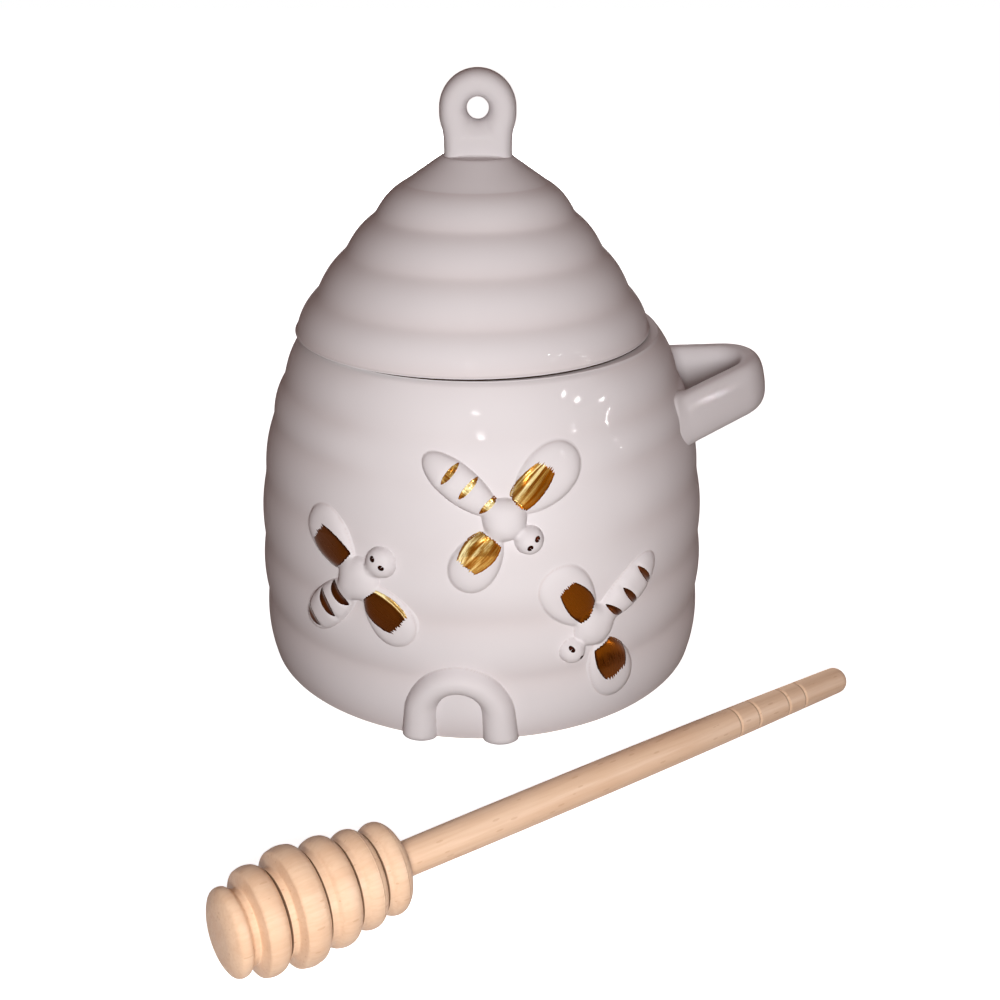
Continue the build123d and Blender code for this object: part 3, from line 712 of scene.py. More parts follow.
def bee_lift(bee, forward, side):
    """A bee's height over the wall: domes for thorax, head, abdomen and wings, run together."""
    shape = BEES[bee]
    offset, length, width = shape["thorax"]
    lumps = [dome(np.hypot((forward - offset) / length, side / width), *THORAX_DOME)]
    offset, beside, radius = shape["head"]
    lumps.append(dome(np.hypot(forward - offset, side - beside) / radius, *HEAD_DOME))
    offset, length, width = shape["abdomen"]
    back = (forward - offset) / length
    abdomen = dome(np.hypot(back, side / width / (1 - ABDOMEN_EGG * back)), *ABDOMEN_DOME)
    for start, end in shape["stripes"]:
        line = start[0] + (side - start[1]) * (end[0] - start[0]) / (end[1] - start[1])
        notch = STRIPE_GROOVE_DEPTH * np.exp(-((forward - line) / STRIPE_GROOVE_WIDTH) ** 2)
        abdomen = abdomen * (1 - np.where(abdomen > 0, notch, 0))
    lumps.append(abdomen)
    for way, wing in ((1, "left"), (-1, "right")):
        offset, shift, lean, length, width = shape[wing]
        lean = np.radians(lean)
        out = forward * np.sin(lean) + way * side * np.cos(lean) - offset
        over = forward * np.cos(lean) - way * side * np.sin(lean) - shift
        width = width * (1 + WING_EGG * np.clip(out / length, -1, 1))
        lumps.append(dome(np.hypot(out / length, over / width), *WING_DOME))
    facing, height = near_bee(bee, forward, side)
    return melded(facing, height, lumps)


def bee_shell(bee):
    """A bee in relief: its height laid over the wall on a grid, closed underneath.

    The grid is narrow at the tail and widens to the wings along an S-curve.
    """
    u = np.linspace(0, 1, BEE_GRID[0])[:, None]
    v = np.linspace(-1, 1, BEE_GRID[1])[None]
    narrow, wide = BEE_HALF_WIDTHS
    forward = BEE_ENDS[0] + (BEE_ENDS[1] - BEE_ENDS[0]) * u + 0 * v
    side = v * (narrow + (wide - narrow) * s_curve(0, BEE_WIDENS_BY, u))
    lift = bee_lift(bee, forward, side)
    facing, height = near_bee(bee, forward, side)
    ground = np.minimum(lift, 0) - RELIEF_DEPTH
    # Painted shade, partly pooled glaze, in the creases round the bee.
    return pillow(on_wall(facing, height, lift), on_wall(facing, height, ground), {"pool_shade": creased(lift)})


def gold_sheet(bee, forward, side, fields):
    """A sheet of lustre over a bee: proud of its surface inside and sunk into it at the border."""
    lift = bee_lift(bee, forward, side)
    facing, height = near_bee(bee, forward, side)
    edge = np.ones(lift.shape, dtype=bool)
    edge[1:-1, 1:-1] = False
    top = on_wall(facing, height, lift + np.where(edge, -GOLD_TUCK, GOLD_LIFT))
    return pillow(top, on_wall(facing, height, lift - GOLD_BURIAL), fields)


def ragged(seed, count, ways):
    """Brush teeth: straight runs between tips and notches of uneven depth."""
    rng = np.random.default_rng(seed)
    knots = np.linspace(0, 1, count) + rng.uniform(-TOOTH_SHIFT, TOOTH_SHIFT, count) / count
    depths = rng.uniform(*TOOTH_DEPTHS, count) * np.where(np.arange(count) % 2, 1, NOTCH_DEPTH)
    fine = rng.uniform(-FINE_DEPTH, FINE_DEPTH, FINE_TEETH * count)
    fine_knots = np.linspace(0, 1, FINE_TEETH * count)
    return np.interp(ways, np.sort(knots), depths) + np.interp(ways, fine_knots, fine)


def gold_patch(bee, patch, seed):
    """Lustre brushed along a wing: a barrel-sided patch with a torn tip and a rough root.

    Its painted reflection runs from one side's brightness to the other's, darkens at its rim and
    brightens along the first side's edge as a painted highlight.
    """
    root_a, root_b, tip_a, tip_b, tear, glow_a, glow_b, edge_glow = patch
    along = np.linspace(0, 1, PATCH_ROWS)[:, None]
    across = np.linspace(0, 1, PATCH_COLUMNS)[None]
    arc = np.sin(np.pi * across)
    start = ROOT_TEAR * ragged(seed, PATCH_TEETH, across) - ROOT_HOLLOW * arc
    end = 1 + tear * ragged(seed + 1, PATCH_TEETH, across) + TIP_SWELL * arc
    way = start + (end - start) * along
    sway = SIDE_SWAY * ragged(seed + 2, SWAY_TEETH, along)
    bulge = PATCH_BULGE * np.sin(np.pi * np.clip(way, 0, 1)) ** BULGE_POWER
    bowed = across + (sway + bulge) * (2 * across - 1)
    spot = [(1 - way) * ((1 - bowed) * a + bowed * b) + way * ((1 - bowed) * c + bowed * d)
            for a, b, c, d in zip(root_a, root_b, tip_a, tip_b)]
    rim = s_curve(0, SIDE_RIM, across) * s_curve(0, SIDE_RIM, 1 - across) * s_curve(0, ROOT_RIM, along)
    glow = (glow_a + (glow_b - glow_a) * across) * (GOLD_RIM + (1 - GOLD_RIM) * rim)
    glow = glow + edge_glow * (1 - s_curve(*BRIGHT_EDGE, across))
    return gold_sheet(bee, *spot, {"along": way, "across": across + 0 * way, "glow": glow})


def gold_stripe(bee, ends):
    """A lens-shaped stroke of lustre across the abdomen, its painted reflection brightest at the middle
    of its length.
    """
    (back_a, side_a), (back_b, side_b) = ends
    along = np.linspace(-1, 1, STRIPE_GRID[0])[:, None]
    across = np.linspace(-1, 1, STRIPE_GRID[1])[None]
    point, edge = STRIPE_POINT
    width = STRIPE_WIDTH[bee] / 2 * np.maximum(1 - np.abs(along) ** point, STRIPE_THIN_END) ** edge
    forward = (back_a + back_b) / 2 + along * (back_b - back_a) / 2 + across * width
    side = (side_a + side_b) / 2 + along * (side_b - side_a) / 2 + 0 * across
    middle = 1 - np.abs(along) ** STRIPE_GLOW_POWER + 0 * across
    glow = STRIPE_GLOW[bee] * (STRIPE_END_GLOW + (1 - STRIPE_END_GLOW) * middle)
    brushed = {"along": side * STRIPE_BRUSHED[0], "across": forward * STRIPE_BRUSHED[1]}
    return gold_sheet(bee, forward, side, {**brushed, "glow": glow})


def gold_eye(bee, place):
    """A dot of lustre on the head, its painted reflection near black."""
    reach = np.linspace(0, 1, EYE_GRID[0])[:, None]
    turn = np.linspace(0, 2 * np.pi, EYE_GRID[1])[None]
    forward = place[0] + EYE_SIZE[0] * reach * np.cos(turn)
    side = place[1] + EYE_SIZE[1] * reach * np.sin(turn)
    return gold_sheet(bee, forward, side, {"along": 0.0, "across": 0.0, "glow": 0 * forward})


def lustre_shells(bee, seed):
    """All the gold on a bee: two wing patches, three stripes and two eyes."""
    return ([gold_patch(bee, patch, seed + PATCH_SEEDS * i) for i, patch in enumerate(PATCHES[bee])]
            + [gold_stripe(bee, ends) for ends in BEES[bee]["stripes"]]
            + [gold_eye(bee, place) for place in EYES[bee]])


# ---- Dipper -----------------------------------------------------------------------------
def dipper_frame():
    """The dipper's tilt, and its axis's height, where the widest disc and the tip touch down."""
    widest = int(np.argmax(DISC_RADII))
    half = (DISC_ENDS[widest] - DISC_STARTS[widest]) / 2
    rim_round = (half**2 + DISC_CROWN**2) / (2 * DISC_CROWN)
    disc_at, disc_in = DISC_STARTS[widest] + half, DISC_RADII[widest] - rim_round
    tip_at, tip_in = DIPPER_LENGTH - HANDLE_TIP_ROUND, HANDLE_RADII[2] - HANDLE_TIP_ROUND
    span = np.hypot(tip_at - disc_at, disc_in - tip_in)
    slope = np.arctan2(disc_in - tip_in, tip_at - disc_at)
    tilt = slope - np.arcsin((HANDLE_TIP_ROUND - rim_round) / span)
    return tilt, rim_round + disc_in * np.cos(tilt) + disc_at * np.sin(tilt)


TILT, AXIS_HEIGHT = dipper_frame()
DIPPER_TURN = (Matrix.Rotation(np.radians(DIPPER_AZIMUTH), 3, "Z")
               @ Matrix.Rotation(np.pi / 2 + TILT, 3, "Y"))
DIPPER_START = (*DIPPER_PLACE, AXIS_HEIGHT)


def turned(outline, columns, groove_shade):
    """A turned piece: its outline swung round the dipper's axis and laid on the table.

    The groove shade tells how near each point lies to the shaded side of a scored ring, or if it is in a
    slit, where shade is painted into the wood.
    """
    turn = np.linspace(0, 2 * np.pi, columns, endpoint=False)[None]
    radius, height = outline[:, :1], outline[:, 1:]
    points = np.stack(np.broadcast_arrays(radius * np.cos(turn), radius * np.sin(turn), height), axis=-1)
    points = points @ np.array(DIPPER_TURN).T + np.array(DIPPER_START)
    return points, faces_of_grid(len(outline), columns, around=True), {"groove_shade": groove_shade}


def head_outline():
    """The head: a domed end, then crowned discs, each with a floor before it and a slit behind."""
    corners = list(DOMED_END)
    for index, (radius, low, high, floor) in enumerate(
            zip(DISC_RADII[1:], DISC_STARTS[1:], DISC_ENDS[1:], GROOVE_FLOORS)):
        last = DISC_ENDS[index]
        if index:
            slit_end = last + SLIT_WIDTH
            corners += [(floor - SLIT_DEPTH, at, SLIT_CUT) for at in (last + SLIT_START, slit_end)]
            corners += [(floor, slit_end + past, cut) for past, cut in SLIT_LIPS]
        corners += [(floor, low, GROOVE_CUT)]
        corners += [(radius - inward, low + on, cut) for inward, on, cut in DISC_FRONT]
        corners += [(radius, (low + high) / 2, DISC_RIM_CUT)]
        corners += [(radius - inward, high - short, cut) for inward, short, cut in DISC_BACK]
    bore = HANDLE_RADII[0] + TENON_GAP
    bore_foot = HEAD_LENGTH - TENON_LENGTH - TENON_GAP
    corners += [(HEAD_COLLAR_RADIUS, HEAD_LENGTH, HEAD_COLLAR_CUT), (bore, HEAD_LENGTH, BORE_CUT),
                (bore, bore_foot, BORE_CUT), (0, bore_foot, 0)]
    return evenly(rounded(corners, steps=7), HEAD_STEP)


def handle_outline():
    """The handle's parabolic barrel with V-shaped scores and a rounded tip."""
    foot = HEAD_LENGTH
    end = DIPPER_LENGTH - HANDLE_TIP_ROUND
    scores = DIPPER_LENGTH - SCORES_FROM_TIP[:, None]
    near_scores = scores + np.linspace(-SCORE_REACH, SCORE_REACH, SCORE_ROWS) * SCORE_WIDTH
    height = np.unique(np.concatenate((np.linspace(foot, end, HANDLE_ROWS), near_scores.ravel())))
    share = (height - foot) / (end - foot)
    belly = HANDLE_RADII[1] - (HANDLE_RADII[0] + HANDLE_RADII[2]) / 2
    radius = HANDLE_RADII[0] * (1 - share) + HANDLE_RADII[2] * share + 4 * belly * share * (1 - share)
    off = np.min(np.abs(height - scores), axis=0)
    radius = radius - SCORE_DEPTH * np.clip(1 - off / (SCORE_WIDTH / 2), 0, 1)
    barrel = np.stack((radius, height), axis=-1)
    turn = np.linspace(0, np.pi / 2, TIP_ROWS)[1:]
    tip = np.stack((HANDLE_RADII[2] - HANDLE_TIP_ROUND * (1 - np.cos(turn)),
                    end + HANDLE_TIP_ROUND * np.sin(turn)), axis=-1)
    inner = foot - TENON_LENGTH
    return np.concatenate((
        [(0, inner), (HANDLE_RADII[0], inner)], barrel, tip, [(0, DIPPER_LENGTH)]))


# ---- Finishes ---------------------------------------------------------------------------
# Patterns on the object's place are sized by their waves or cells in a metre.
CLOUD_EDGES = (0.3, 0.7)
GLAZE_SHADE, GLAZE_CLEAR = (0.690, 0.660, 0.672, 1), (0.725, 0.695, 0.706, 1)
# Glaze darkened in grooves and creases: partly pooled glaze, partly painted shade.
GLAZE_POOL_SHADE, POOL_SHADE_SHARE = (0.56, 0.47, 0.455, 1), 0.35
GLAZE_SPECK, SPECK_SHARE = (0.16, 0.09, 0.06, 1), 0.7
# The foot is bare clay; the seat's dark colour is painted shade in the seam.
FOOT_CLAY, SEAT_SHADE = (0.60, 0.50, 0.40, 1), (0.10, 0.055, 0.035, 1)
FOOT_BARE_BELOW = (0.0001, 0.0003)
GLAZE_CLOUDS, GLAZE_RIPPLES, CLAY_GRIT = 22.0, 95.0, 2600.0
GLAZE_SPECKS = {"Cells": 85.0, "Dot": 0.018, "Share": 0.12}
GRIT_RELIEF, CLAY_ROUGHER, GLAZE_SHINE = 2.0, 0.6, (0.07, 0.11)

# The lustre's base colour carries a painted reflection: near black to brown where the glow is low, bronze
# to bright gold where streaks and glow are high.
LUSTRE_BLACK, LUSTRE_BROWN = (0.018, 0.004, 0.002, 1), (0.17, 0.044, 0.001, 1)
LUSTRE_BRONZE, LUSTRE_GOLD = (0.36, 0.20, 0.045, 1), (0.97, 0.82, 0.44, 1)
BROWN_BY, GOLD_OVER, GOLD_TONES = (0.0, 0.1), (0.1, 0.5), (0.35, 0.9)
# Strokes are counted over a patch's own width and length.
BROAD_STROKES = {"Across": 3.6, "Along": 0.6, "Low": 0.38, "High": 0.62}
FINE_STROKES = {"Across": 16.0, "Along": 2.2, "Low": 0.3, "High": 0.7}
LUSTRE_GRAIN, LUSTRE_SHINE = 4200.0, (0.34, 0.22)
BROAD_SHARE, FINE_SHARE, GRAIN_SHARE = 0.8, 0.15, 0.25

BEECH_EARLY, BEECH_LATE = (0.755, 0.53, 0.362, 1), (0.69, 0.45, 0.292, 1)
BEECH_CLOUD, CLOUD_SHARE = (0.775, 0.573, 0.414, 1), 0.5
BEECH_FIBRE, FIBRE_SHARE = (0.62, 0.39, 0.24, 1), 0.3
BEECH_FLECK, FLECK_SHARE = (0.50, 0.27, 0.15, 1), 0.35
# Painted shade in the slits behind the discs and on the shaded side of each scored ring.
BEECH_GROOVE_SHADE, GROOVE_SHADE_SHARE = (0.22, 0.11, 0.06, 1), 0.75
BEECH_CLOUDS = 45.0
BEECH_RINGS = {"Across": 240.0, "Along": 9.0, "Low": 0.32, "High": 0.68}
BEECH_FIBRES = {"Across": 1700.0, "Along": 70.0, "Low": 0.35, "High": 0.7}
BEECH_FLECKS = {"Cells": 1100.0, "Dot": 0.22, "Share": 0.3}
FLECK_SQUEEZE = (1.0, 1.0, 0.24)
BEECH_SHINE = (0.5, 0.62)
HEAD_SHIFT, HANDLE_SHIFT = (0.31, 0.12, 0.5), (0.02, 0.0, 0.0)


def add(tree, kind, values=(), **settings):
    """A node in a tree, with its settings, and with values set or sockets joined to its inputs."""
    made = tree.nodes.new(kind)
    for name, setting in settings.items():
        setattr(made, name, setting)
    for name, value in dict(values).items():
        if isinstance(value, bpy.types.NodeSocket):
            tree.links.new(value, made.inputs[name])
        else:
            made.inputs[name].default_value = value
    return made


def maths(tree, operation, first, second=0.0, clamp=False):
    """One sum of two values."""
    values = {0: first, 1: second}
    return add(tree, "ShaderNodeMath", values, operation=operation, use_clamp=clamp).outputs[0]


def topped(tree, total, value, share):
    """A total with a share of another value added."""
    return maths(tree, "ADD", total, maths(tree, "MULTIPLY", value, share))


def between(tree, value, low, high, to_low=0.0, to_high=1.0):
    """A value eased from one range into another."""
    return add(tree, "ShaderNodeMapRange", {
        "Value": value, "From Min": low, "From Max": high, "To Min": to_low, "To Max": to_high},
        interpolation_type="SMOOTHSTEP").outputs["Result"]


def blended(tree, share, first, second):
    """Two colours mixed by a share."""
    return add(tree, "ShaderNodeMix", {0: share, 6: first, 7: second}, data_type="RGBA").outputs[2]


def tinted(tree, colour, tint, mask, share):
    """A colour drawn towards a tint by a share of a mask."""
    return blended(tree, maths(tree, "MULTIPLY", mask, share), colour, tint)


def field(tree, name):
    """The mask that a piece carries on its points."""
    return add(tree, "ShaderNodeAttribute", attribute_name=name).outputs["Fac"]


def noise(tree, place, size, **values):
    """Plain noise of a size."""
    return add(tree, "ShaderNodeTexNoise", {"Vector": place, "Scale": size, **values}).outputs["Fac"]


def times(tree, first, second):
    """Two vectors multiplied part by part."""
    return add(tree, "ShaderNodeVectorMath", {0: first, 1: second}, operation="MULTIPLY").outputs[0]


def new_group(name, numbers):
    """A shader node group from a place and some named numbers, with their starting values, to a mask."""
    group = bpy.data.node_groups.new(name, "ShaderNodeTree")
    group.interface.new_socket("Place", in_out="INPUT", socket_type="NodeSocketVector")
    for label, start in numbers.items():
        socket = group.interface.new_socket(label, in_out="INPUT", socket_type="NodeSocketFloat")
        socket.default_value = start
    group.interface.new_socket("Mask", in_out="OUTPUT", socket_type="NodeSocketFloat")
    return group, group.nodes.new("NodeGroupInput").outputs, group.nodes.new("NodeGroupOutput").inputs


def mottle_group():
    """Cloudy patches: noise of two sizes eased to a mask."""
    group, given, made = new_group("cloudy_mottle", {"Size": 30.0})
    cloud = noise(group, given["Place"], given["Size"], Detail=3.0, Roughness=0.55)
    group.links.new(between(group, cloud, *CLOUD_EDGES), made["Mask"])
    return group


def streak_group():
    """Streaks along Z: noise squeezed across that way, and a finer one laid over it."""
    group, given, made = new_group(
        "long_streaks", {"Across": 400.0, "Along": 10.0, "Low": 0.3, "High": 0.7})
    stretch = add(group, "ShaderNodeCombineXYZ", {
        "X": given["Across"], "Y": given["Across"], "Z": given["Along"]}).outputs[0]
    place = times(group, given["Place"], stretch)
    streak = noise(group, place, 1.0, Detail=4.0, Roughness=0.6, Distortion=0.2)
    group.links.new(between(group, streak, given["Low"], given["High"]), made["Mask"])
    return group


def speck_group():
    """Sparse dots: the middles of a few cells of a cell pattern."""
    group, given, made = new_group("sparse_specks", {"Cells": 150.0, "Dot": 0.05, "Share": 0.1})
    cells = add(group, "ShaderNodeTexVoronoi", {"Vector": given["Place"], "Scale": given["Cells"]})
    dot = maths(group, "LESS_THAN", cells.outputs["Distance"], given["Dot"])
    pick = add(group, "ShaderNodeSeparateColor", {"Color": cells.outputs["Color"]}).outputs[0]
    chosen = maths(group, "LESS_THAN", pick, given["Share"])
    group.links.new(maths(group, "MULTIPLY", dot, chosen), made["Mask"])
    return group


MOTTLE, STREAKS, SPECKS = mottle_group(), streak_group(), speck_group()


def put(tree, group, place, numbers):
    """A node group placed in a material, with its own values, giving its mask."""
    return add(tree, "ShaderNodeGroup", {"Place": place, **numbers}, node_tree=group).outputs["Mask"]


def new_finish(name, **constants):
    """A material with a Principled BSDF whose even values are set on its own sockets."""
    finish = bpy.data.materials.new(name)
    finish.use_nodes = True
    tree = finish.node_tree
    tree.nodes.clear()
    shader = add(tree, "ShaderNodeBsdfPrincipled", {k.replace("_", " "): v for k, v in constants.items()})
    add(tree, "ShaderNodeOutputMaterial", {"Surface": shader.outputs[0]})
    place = add(tree, "ShaderNodeTexCoord").outputs["Object"]
    return finish, tree, shader, place


def dress(tree, shader, colour, rough, relief, strength, depth):
    """Joins a colour, a roughness and a bump of the relief to the shader."""
    bump = add(tree, "ShaderNodeBump", {"Strength": strength, "Distance": depth, "Height": relief})
    for name, value in (("Base Color", colour), ("Roughness", rough), ("Normal", bump.outputs[0])):
        tree.links.new(value, shader.inputs[name])


def glaze():
    """Glossy off-white glaze: faint clouds and ripples, darker and warmer in grooves and creases (partly
    pooled glaze, partly painted shade), a dark ring of painted shade at the seat, bare under the foot.
    """
    finish, tree, shader, place = new_finish(
        "off_white_glaze", IOR=1.5, Specular_IOR_Level=0.0, Coat_Weight=0.06, Coat_Roughness=0.05)
    clouds = put(tree, MOTTLE, place, {"Size": GLAZE_CLOUDS})
    specks = put(tree, SPECKS, place, GLAZE_SPECKS)
    height = add(tree, "ShaderNodeSeparateXYZ", {0: place}).outputs["Z"]
    bare = between(tree, height, *FOOT_BARE_BELOW, 1.0, 0.0)
    colour = blended(tree, clouds, GLAZE_SHADE, GLAZE_CLEAR)
    # Painted shade, partly pooled glaze, in grooves and creases.
    colour = tinted(tree, colour, GLAZE_POOL_SHADE, field(tree, "pool_shade"), POOL_SHADE_SHARE)
    colour = tinted(tree, colour, GLAZE_SPECK, specks, SPECK_SHARE)
    colour = blended(tree, bare, colour, FOOT_CLAY)
    # The seat's dark ring of painted shade.
    colour = blended(tree, field(tree, "seat"), colour, SEAT_SHADE)
    ripple = noise(tree, place, GLAZE_RIPPLES, Detail=2.0)
    grit = maths(tree, "MULTIPLY", noise(tree, place, CLAY_GRIT, Detail=2.0), bare)
    relief = topped(tree, ripple, grit, GRIT_RELIEF)
    rough = topped(tree, between(tree, clouds, 0.0, 1.0, *GLAZE_SHINE), bare, CLAY_ROUGHER)
    dress(tree, shader, colour, rough, relief, strength=1.0, depth=0.00004)
    return finish


def lustre():
    """Brushed gold lustre: bronze-brown to bright gold in streaks along each stroke, brightened or
    darkened by a painted reflection from the glow on its points.
    """
    finish, tree, shader, place = new_finish("gold_lustre", Metallic=1.0)
    glow = field(tree, "glow")
    stroke = add(tree, "ShaderNodeCombineXYZ", {
        "X": field(tree, "across"), "Y": glow, "Z": field(tree, "along")}).outputs[0]
    broad = put(tree, STREAKS, stroke, BROAD_STROKES)
    fine = put(tree, STREAKS, stroke, FINE_STROKES)
    grain = noise(tree, place, LUSTRE_GRAIN, Detail=2.0)
    sheen = topped(tree, maths(tree, "MULTIPLY", broad, BROAD_SHARE), fine, FINE_SHARE)
    sheen = topped(tree, sheen, grain, GRAIN_SHARE)
    # The painted reflection: the streaks times the glow.
    bright = maths(tree, "MULTIPLY", sheen, glow, clamp=True)
    dark = blended(tree, between(tree, glow, *BROWN_BY), LUSTRE_BLACK, LUSTRE_BROWN)
    gold = blended(tree, between(tree, bright, *GOLD_TONES), LUSTRE_BRONZE, LUSTRE_GOLD)
    colour = blended(tree, between(tree, bright, *GOLD_OVER), dark, gold)
    rough = between(tree, fine, 0.0, 1.0, *LUSTRE_SHINE)
    dress(tree, shader, colour, rough, fine, strength=0.3, depth=0.00002)
    return finish


def beech(name, shift):
    """Plain turned beech: pinkish tan, fine straight grain along the dipper and short ray flecks, and
    painted shade in the slits and scored rings.
    """
    finish, tree, shader, place = new_finish(name, IOR=1.45)
    stock = add(tree, "ShaderNodeMapping", {
        "Vector": place, "Location": [value * MM for value in DIPPER_START],
        "Rotation": DIPPER_TURN.to_euler()}, vector_type="TEXTURE").outputs[0]
    stock = add(tree, "ShaderNodeVectorMath", {0: stock, 1: shift}, operation="ADD").outputs[0]
    fibres = put(tree, STREAKS, stock, BEECH_FIBRES)
    flecks = put(tree, SPECKS, times(tree, stock, FLECK_SQUEEZE), BEECH_FLECKS)
    colour = blended(tree, put(tree, STREAKS, stock, BEECH_RINGS), BEECH_EARLY, BEECH_LATE)
    for tint, mask, share in (
            (BEECH_CLOUD, put(tree, MOTTLE, stock, {"Size": BEECH_CLOUDS}), CLOUD_SHARE),
            (BEECH_FIBRE, fibres, FIBRE_SHARE), (BEECH_FLECK, flecks, FLECK_SHARE),
            (BEECH_GROOVE_SHADE, field(tree, "groove_shade"), GROOVE_SHADE_SHARE)):
        colour = tinted(tree, colour, tint, mask, share)
    rough = between(tree, fibres, 0.0, 1.0, *BEECH_SHINE)
    dress(tree, shader, colour, rough, maths(tree, "ADD", fibres, flecks), strength=0.5, depth=0.00004)
    return finish


# ---- Pieces -------------------------------------------------------------------------------
GLAZE, LUSTRE = glaze(), lustre()

for name, shells, body, node in (
        ("glazed_pot", [pot_shell()], "pot", "pot_body"),
        ("dipper_loop", [loop_shell()], "pot", "side_loop"),
        ("doorway_arch", [door_shell()], "pot", "door_arch"),
        ("glazed_lid", [lid_shell()], "lid", "lid_dome"),
        ("pierced_knob", knob_shells(), "lid", "lid_knob")):
    make_piece(name, shells, GLAZE, body, node)
for number, bee in enumerate(BEES):
    gold = lustre_shells(bee, BEE_SEEDS * number)
    make_piece("raised_" + bee, [bee_shell(bee)], GLAZE, "pot", bee)
    make_piece("gold_" + bee, gold, LUSTRE, "pot", bee + "_lustre")

head, barrel = head_outline(), handle_outline()
# Painted shade for the slits behind the discs and the shaded side of each scored ring.
past_disc = head[:, 1:] - np.array(DISC_ENDS[1:-1])
in_slit = np.any((past_disc > 0) & (past_disc < SLIT_WIDTH + SLIT_SHADE), axis=1, keepdims=True)
slit_groove_shade = (in_slit & (head[:, :1] > HANDLE_RADII[1])).astype(float)
rings = DIPPER_LENGTH - SCORES_FROM_TIP - SCORE_SHADE
off_ring = np.min(np.abs(barrel[:, 1:] - rings), axis=1, keepdims=True)
ring_groove_shade = np.clip(1 - off_ring / SCORE_SHADE, 0, 1)
for name, outline, columns, groove_shade, shift in (
        ("head", head, HEAD_COLUMNS, slit_groove_shade, HEAD_SHIFT),
        ("handle", barrel, HANDLE_COLUMNS, ring_groove_shade, HANDLE_SHIFT)):
    make_piece("turned_" + name, [turned(outline, columns, groove_shade)], beech("beech_" + name, shift),
               "dipper", "dipper_" + name)


# ---- Table, light and camera ----------------------------------------------------------------
TABLE_HALF_WIDTH = 4
TABLE_DIM, TABLE_SEEN = (0.18, 0.12, 0.10, 1), (0.8, 0.8, 0.8, 1)
TABLE_GLOW = 0.91
TABLE_FADE = (0.1, 0.28)
ROOM_DIM, ROOM_SEEN = (0.085, 0.022, 0.010, 1), (1, 1, 1, 1)
AIM = Vector((0.0, -0.02, 0.06))
# Each lamp's azimuth, elevation, distance, size and power; each window's first two and its size.
SOFTBOXES = {
    "front_softbox": (3.0, 15.0, 0.3, (0.08, 0.07), 0.8),
    "back_softbox": (180.0, 8.0, 1.0, (0.35, 0.25), 8.0),
}
STARS = {
    "star_low": (0.0, 22.0, 0.279, (0.022, 0.0012), 0.07),
    "star_high": (-2.5, 27.9, 0.279, (0.018, 0.0012), 0.08),
}
WINDOWS = (
    (52.5, 27.5, (0.05, 0.03)), (59.5, 23.5, (0.05, 0.025)), (72.5, 18.5, (0.08, 0.02)),
    (52.5, 17.5, (0.06, 0.014)), (75.5, 11.0, (0.06, 0.014)), (76.5, 3.5, (0.03, 0.02)))
WINDOW_DISTANCE = 1.2
WINDOW_POWER = 1700.0
CAMERA_PLACE = (0.00451, -0.2812, 0.16157)
CAMERA_DIP = 21.913
CAMERA_LENS, CAMERA_SHIFT, CAMERA_NEAR = 43.95, -0.0533, 0.01


def seen(tree):
    """One for camera, glossy and transmission rays, nought for the rest."""
    path = add(tree, "ShaderNodeLightPath").outputs
    total = maths(tree, "ADD", path["Is Camera Ray"], path["Is Glossy Ray"])
    return maths(tree, "ADD", total, path["Is Transmission Ray"], clamp=True)


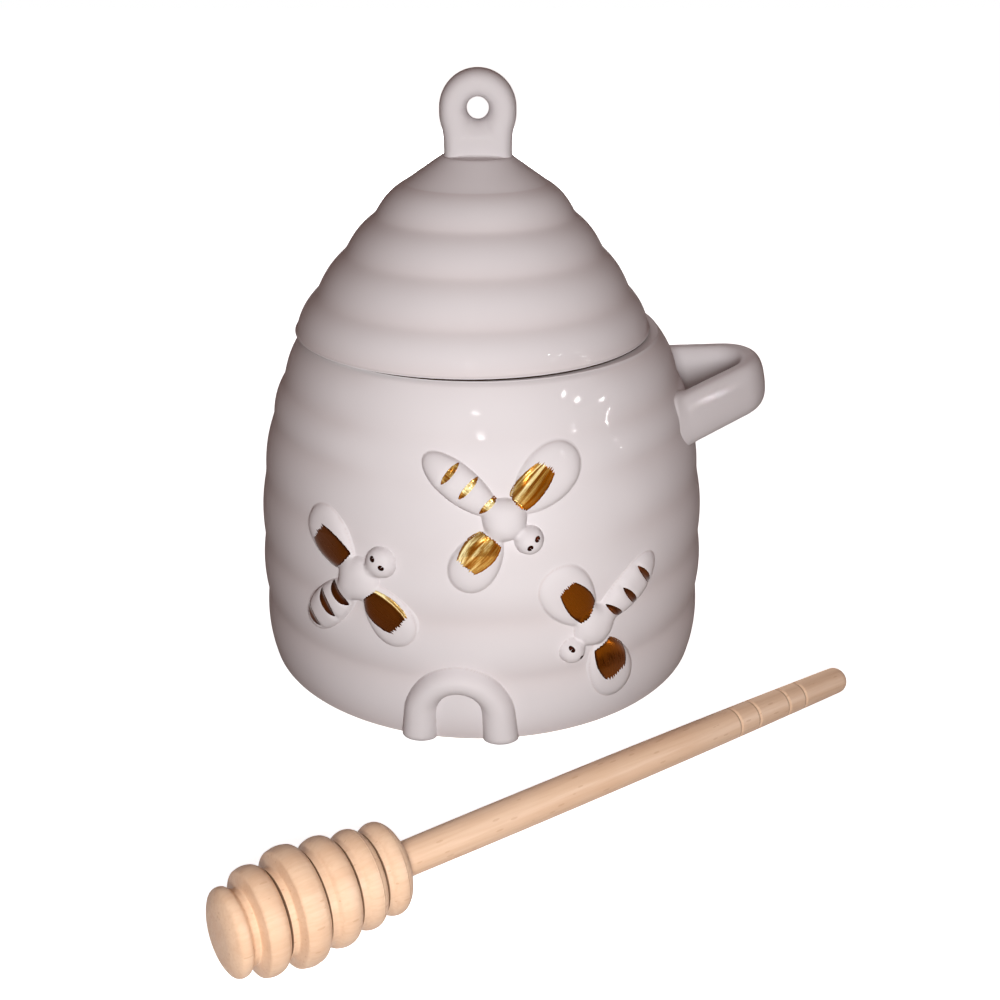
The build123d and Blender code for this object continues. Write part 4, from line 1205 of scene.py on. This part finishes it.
def table():
    """A wide pale table that looks white except where the object shades it."""
    finish = bpy.data.materials.new("pale_table")
    finish.use_nodes = True
    tree = finish.node_tree
    tree.nodes.clear()
    place = add(tree, "ShaderNodeTexCoord").outputs["Object"]
    away = add(tree, "ShaderNodeVectorMath", {0: place}, operation="LENGTH").outputs["Value"]
    shown = seen(tree)
    plain = add(tree, "ShaderNodeBsdfDiffuse", {"Color": blended(tree, shown, TABLE_DIM, TABLE_SEEN)})
    near = between(tree, away, *TABLE_FADE, TABLE_GLOW, 1.0)
    glow = add(tree, "ShaderNodeEmission", {
        "Color": (1, 1, 1, 1), "Strength": maths(tree, "MULTIPLY", shown, near)})
    both = add(tree, "ShaderNodeAddShader", {0: plain.outputs[0], 1: glow.outputs[0]})
    add(tree, "ShaderNodeOutputMaterial", {"Surface": both.outputs[0]})
    mesh = bpy.data.meshes.new("table_top")
    half = TABLE_HALF_WIDTH
    corners = [(-half, -half, 0), (half, -half, 0), (half, half, 0), (-half, half, 0)]
    mesh.from_pydata(corners, [], [(0, 1, 2, 3)])
    mesh.materials.append(finish)
    top = bpy.data.objects.new("table_top", mesh)
    bpy.context.scene.collection.objects.link(top)


def lamp(name, azimuth, elevation, distance, size, power, glint=True):
    """A rectangular lamp aimed at the pot from an azimuth and elevation.

    A glint only shows in gloss; any other lamp only lights.
    """
    light = bpy.data.lights.new(name, "AREA")
    light.shape = "RECTANGLE"
    light.size, light.size_y = size
    light.energy = power
    facing, up = np.radians(azimuth), np.radians(elevation)
    away = Vector((np.sin(facing) * np.cos(up), -np.cos(facing) * np.cos(up), np.sin(up)))
    stand = bpy.data.objects.new(name, light)
    stand.location = AIM + away * distance
    stand.rotation_euler = away.to_track_quat("Z", "Y").to_euler()
    stand.visible_glossy = glint
    stand.visible_diffuse = not glint
    stand.visible_camera = False
    bpy.context.scene.collection.objects.link(stand)


def surroundings():
    """A dim warm room that shows as white behind the object."""
    world = bpy.data.worlds.new("pale_room")
    world.use_nodes = True
    tree = world.node_tree
    tree.nodes.clear()
    colour = blended(tree, seen(tree), ROOM_DIM, ROOM_SEEN)
    back = add(tree, "ShaderNodeBackground", {"Color": colour, "Strength": 1.0})
    add(tree, "ShaderNodeOutputWorld", {"Surface": back.outputs[0]})
    bpy.context.scene.world = world


table()
surroundings()
for name, row in SOFTBOXES.items():
    lamp(name, *row, glint=False)
for name, row in STARS.items():
    lamp(name, *row)
for number, (azimuth, elevation, (width, height)) in enumerate(WINDOWS):
    power = WINDOW_POWER * width * height
    lamp(f"window_{number}", azimuth, elevation, WINDOW_DISTANCE, (width, height), power)

camera = bpy.data.cameras.new("front_camera")
camera.lens = CAMERA_LENS
camera.shift_y = CAMERA_SHIFT
camera.clip_start = CAMERA_NEAR
viewpoint = bpy.data.objects.new("front_camera", camera)
viewpoint.location = CAMERA_PLACE
viewpoint.rotation_euler = Euler((np.radians(90 - CAMERA_DIP), 0, 0))
bpy.context.scene.collection.objects.link(viewpoint)
bpy.context.scene.camera = viewpoint
bpy.context.scene.view_settings.view_transform = "Standard"
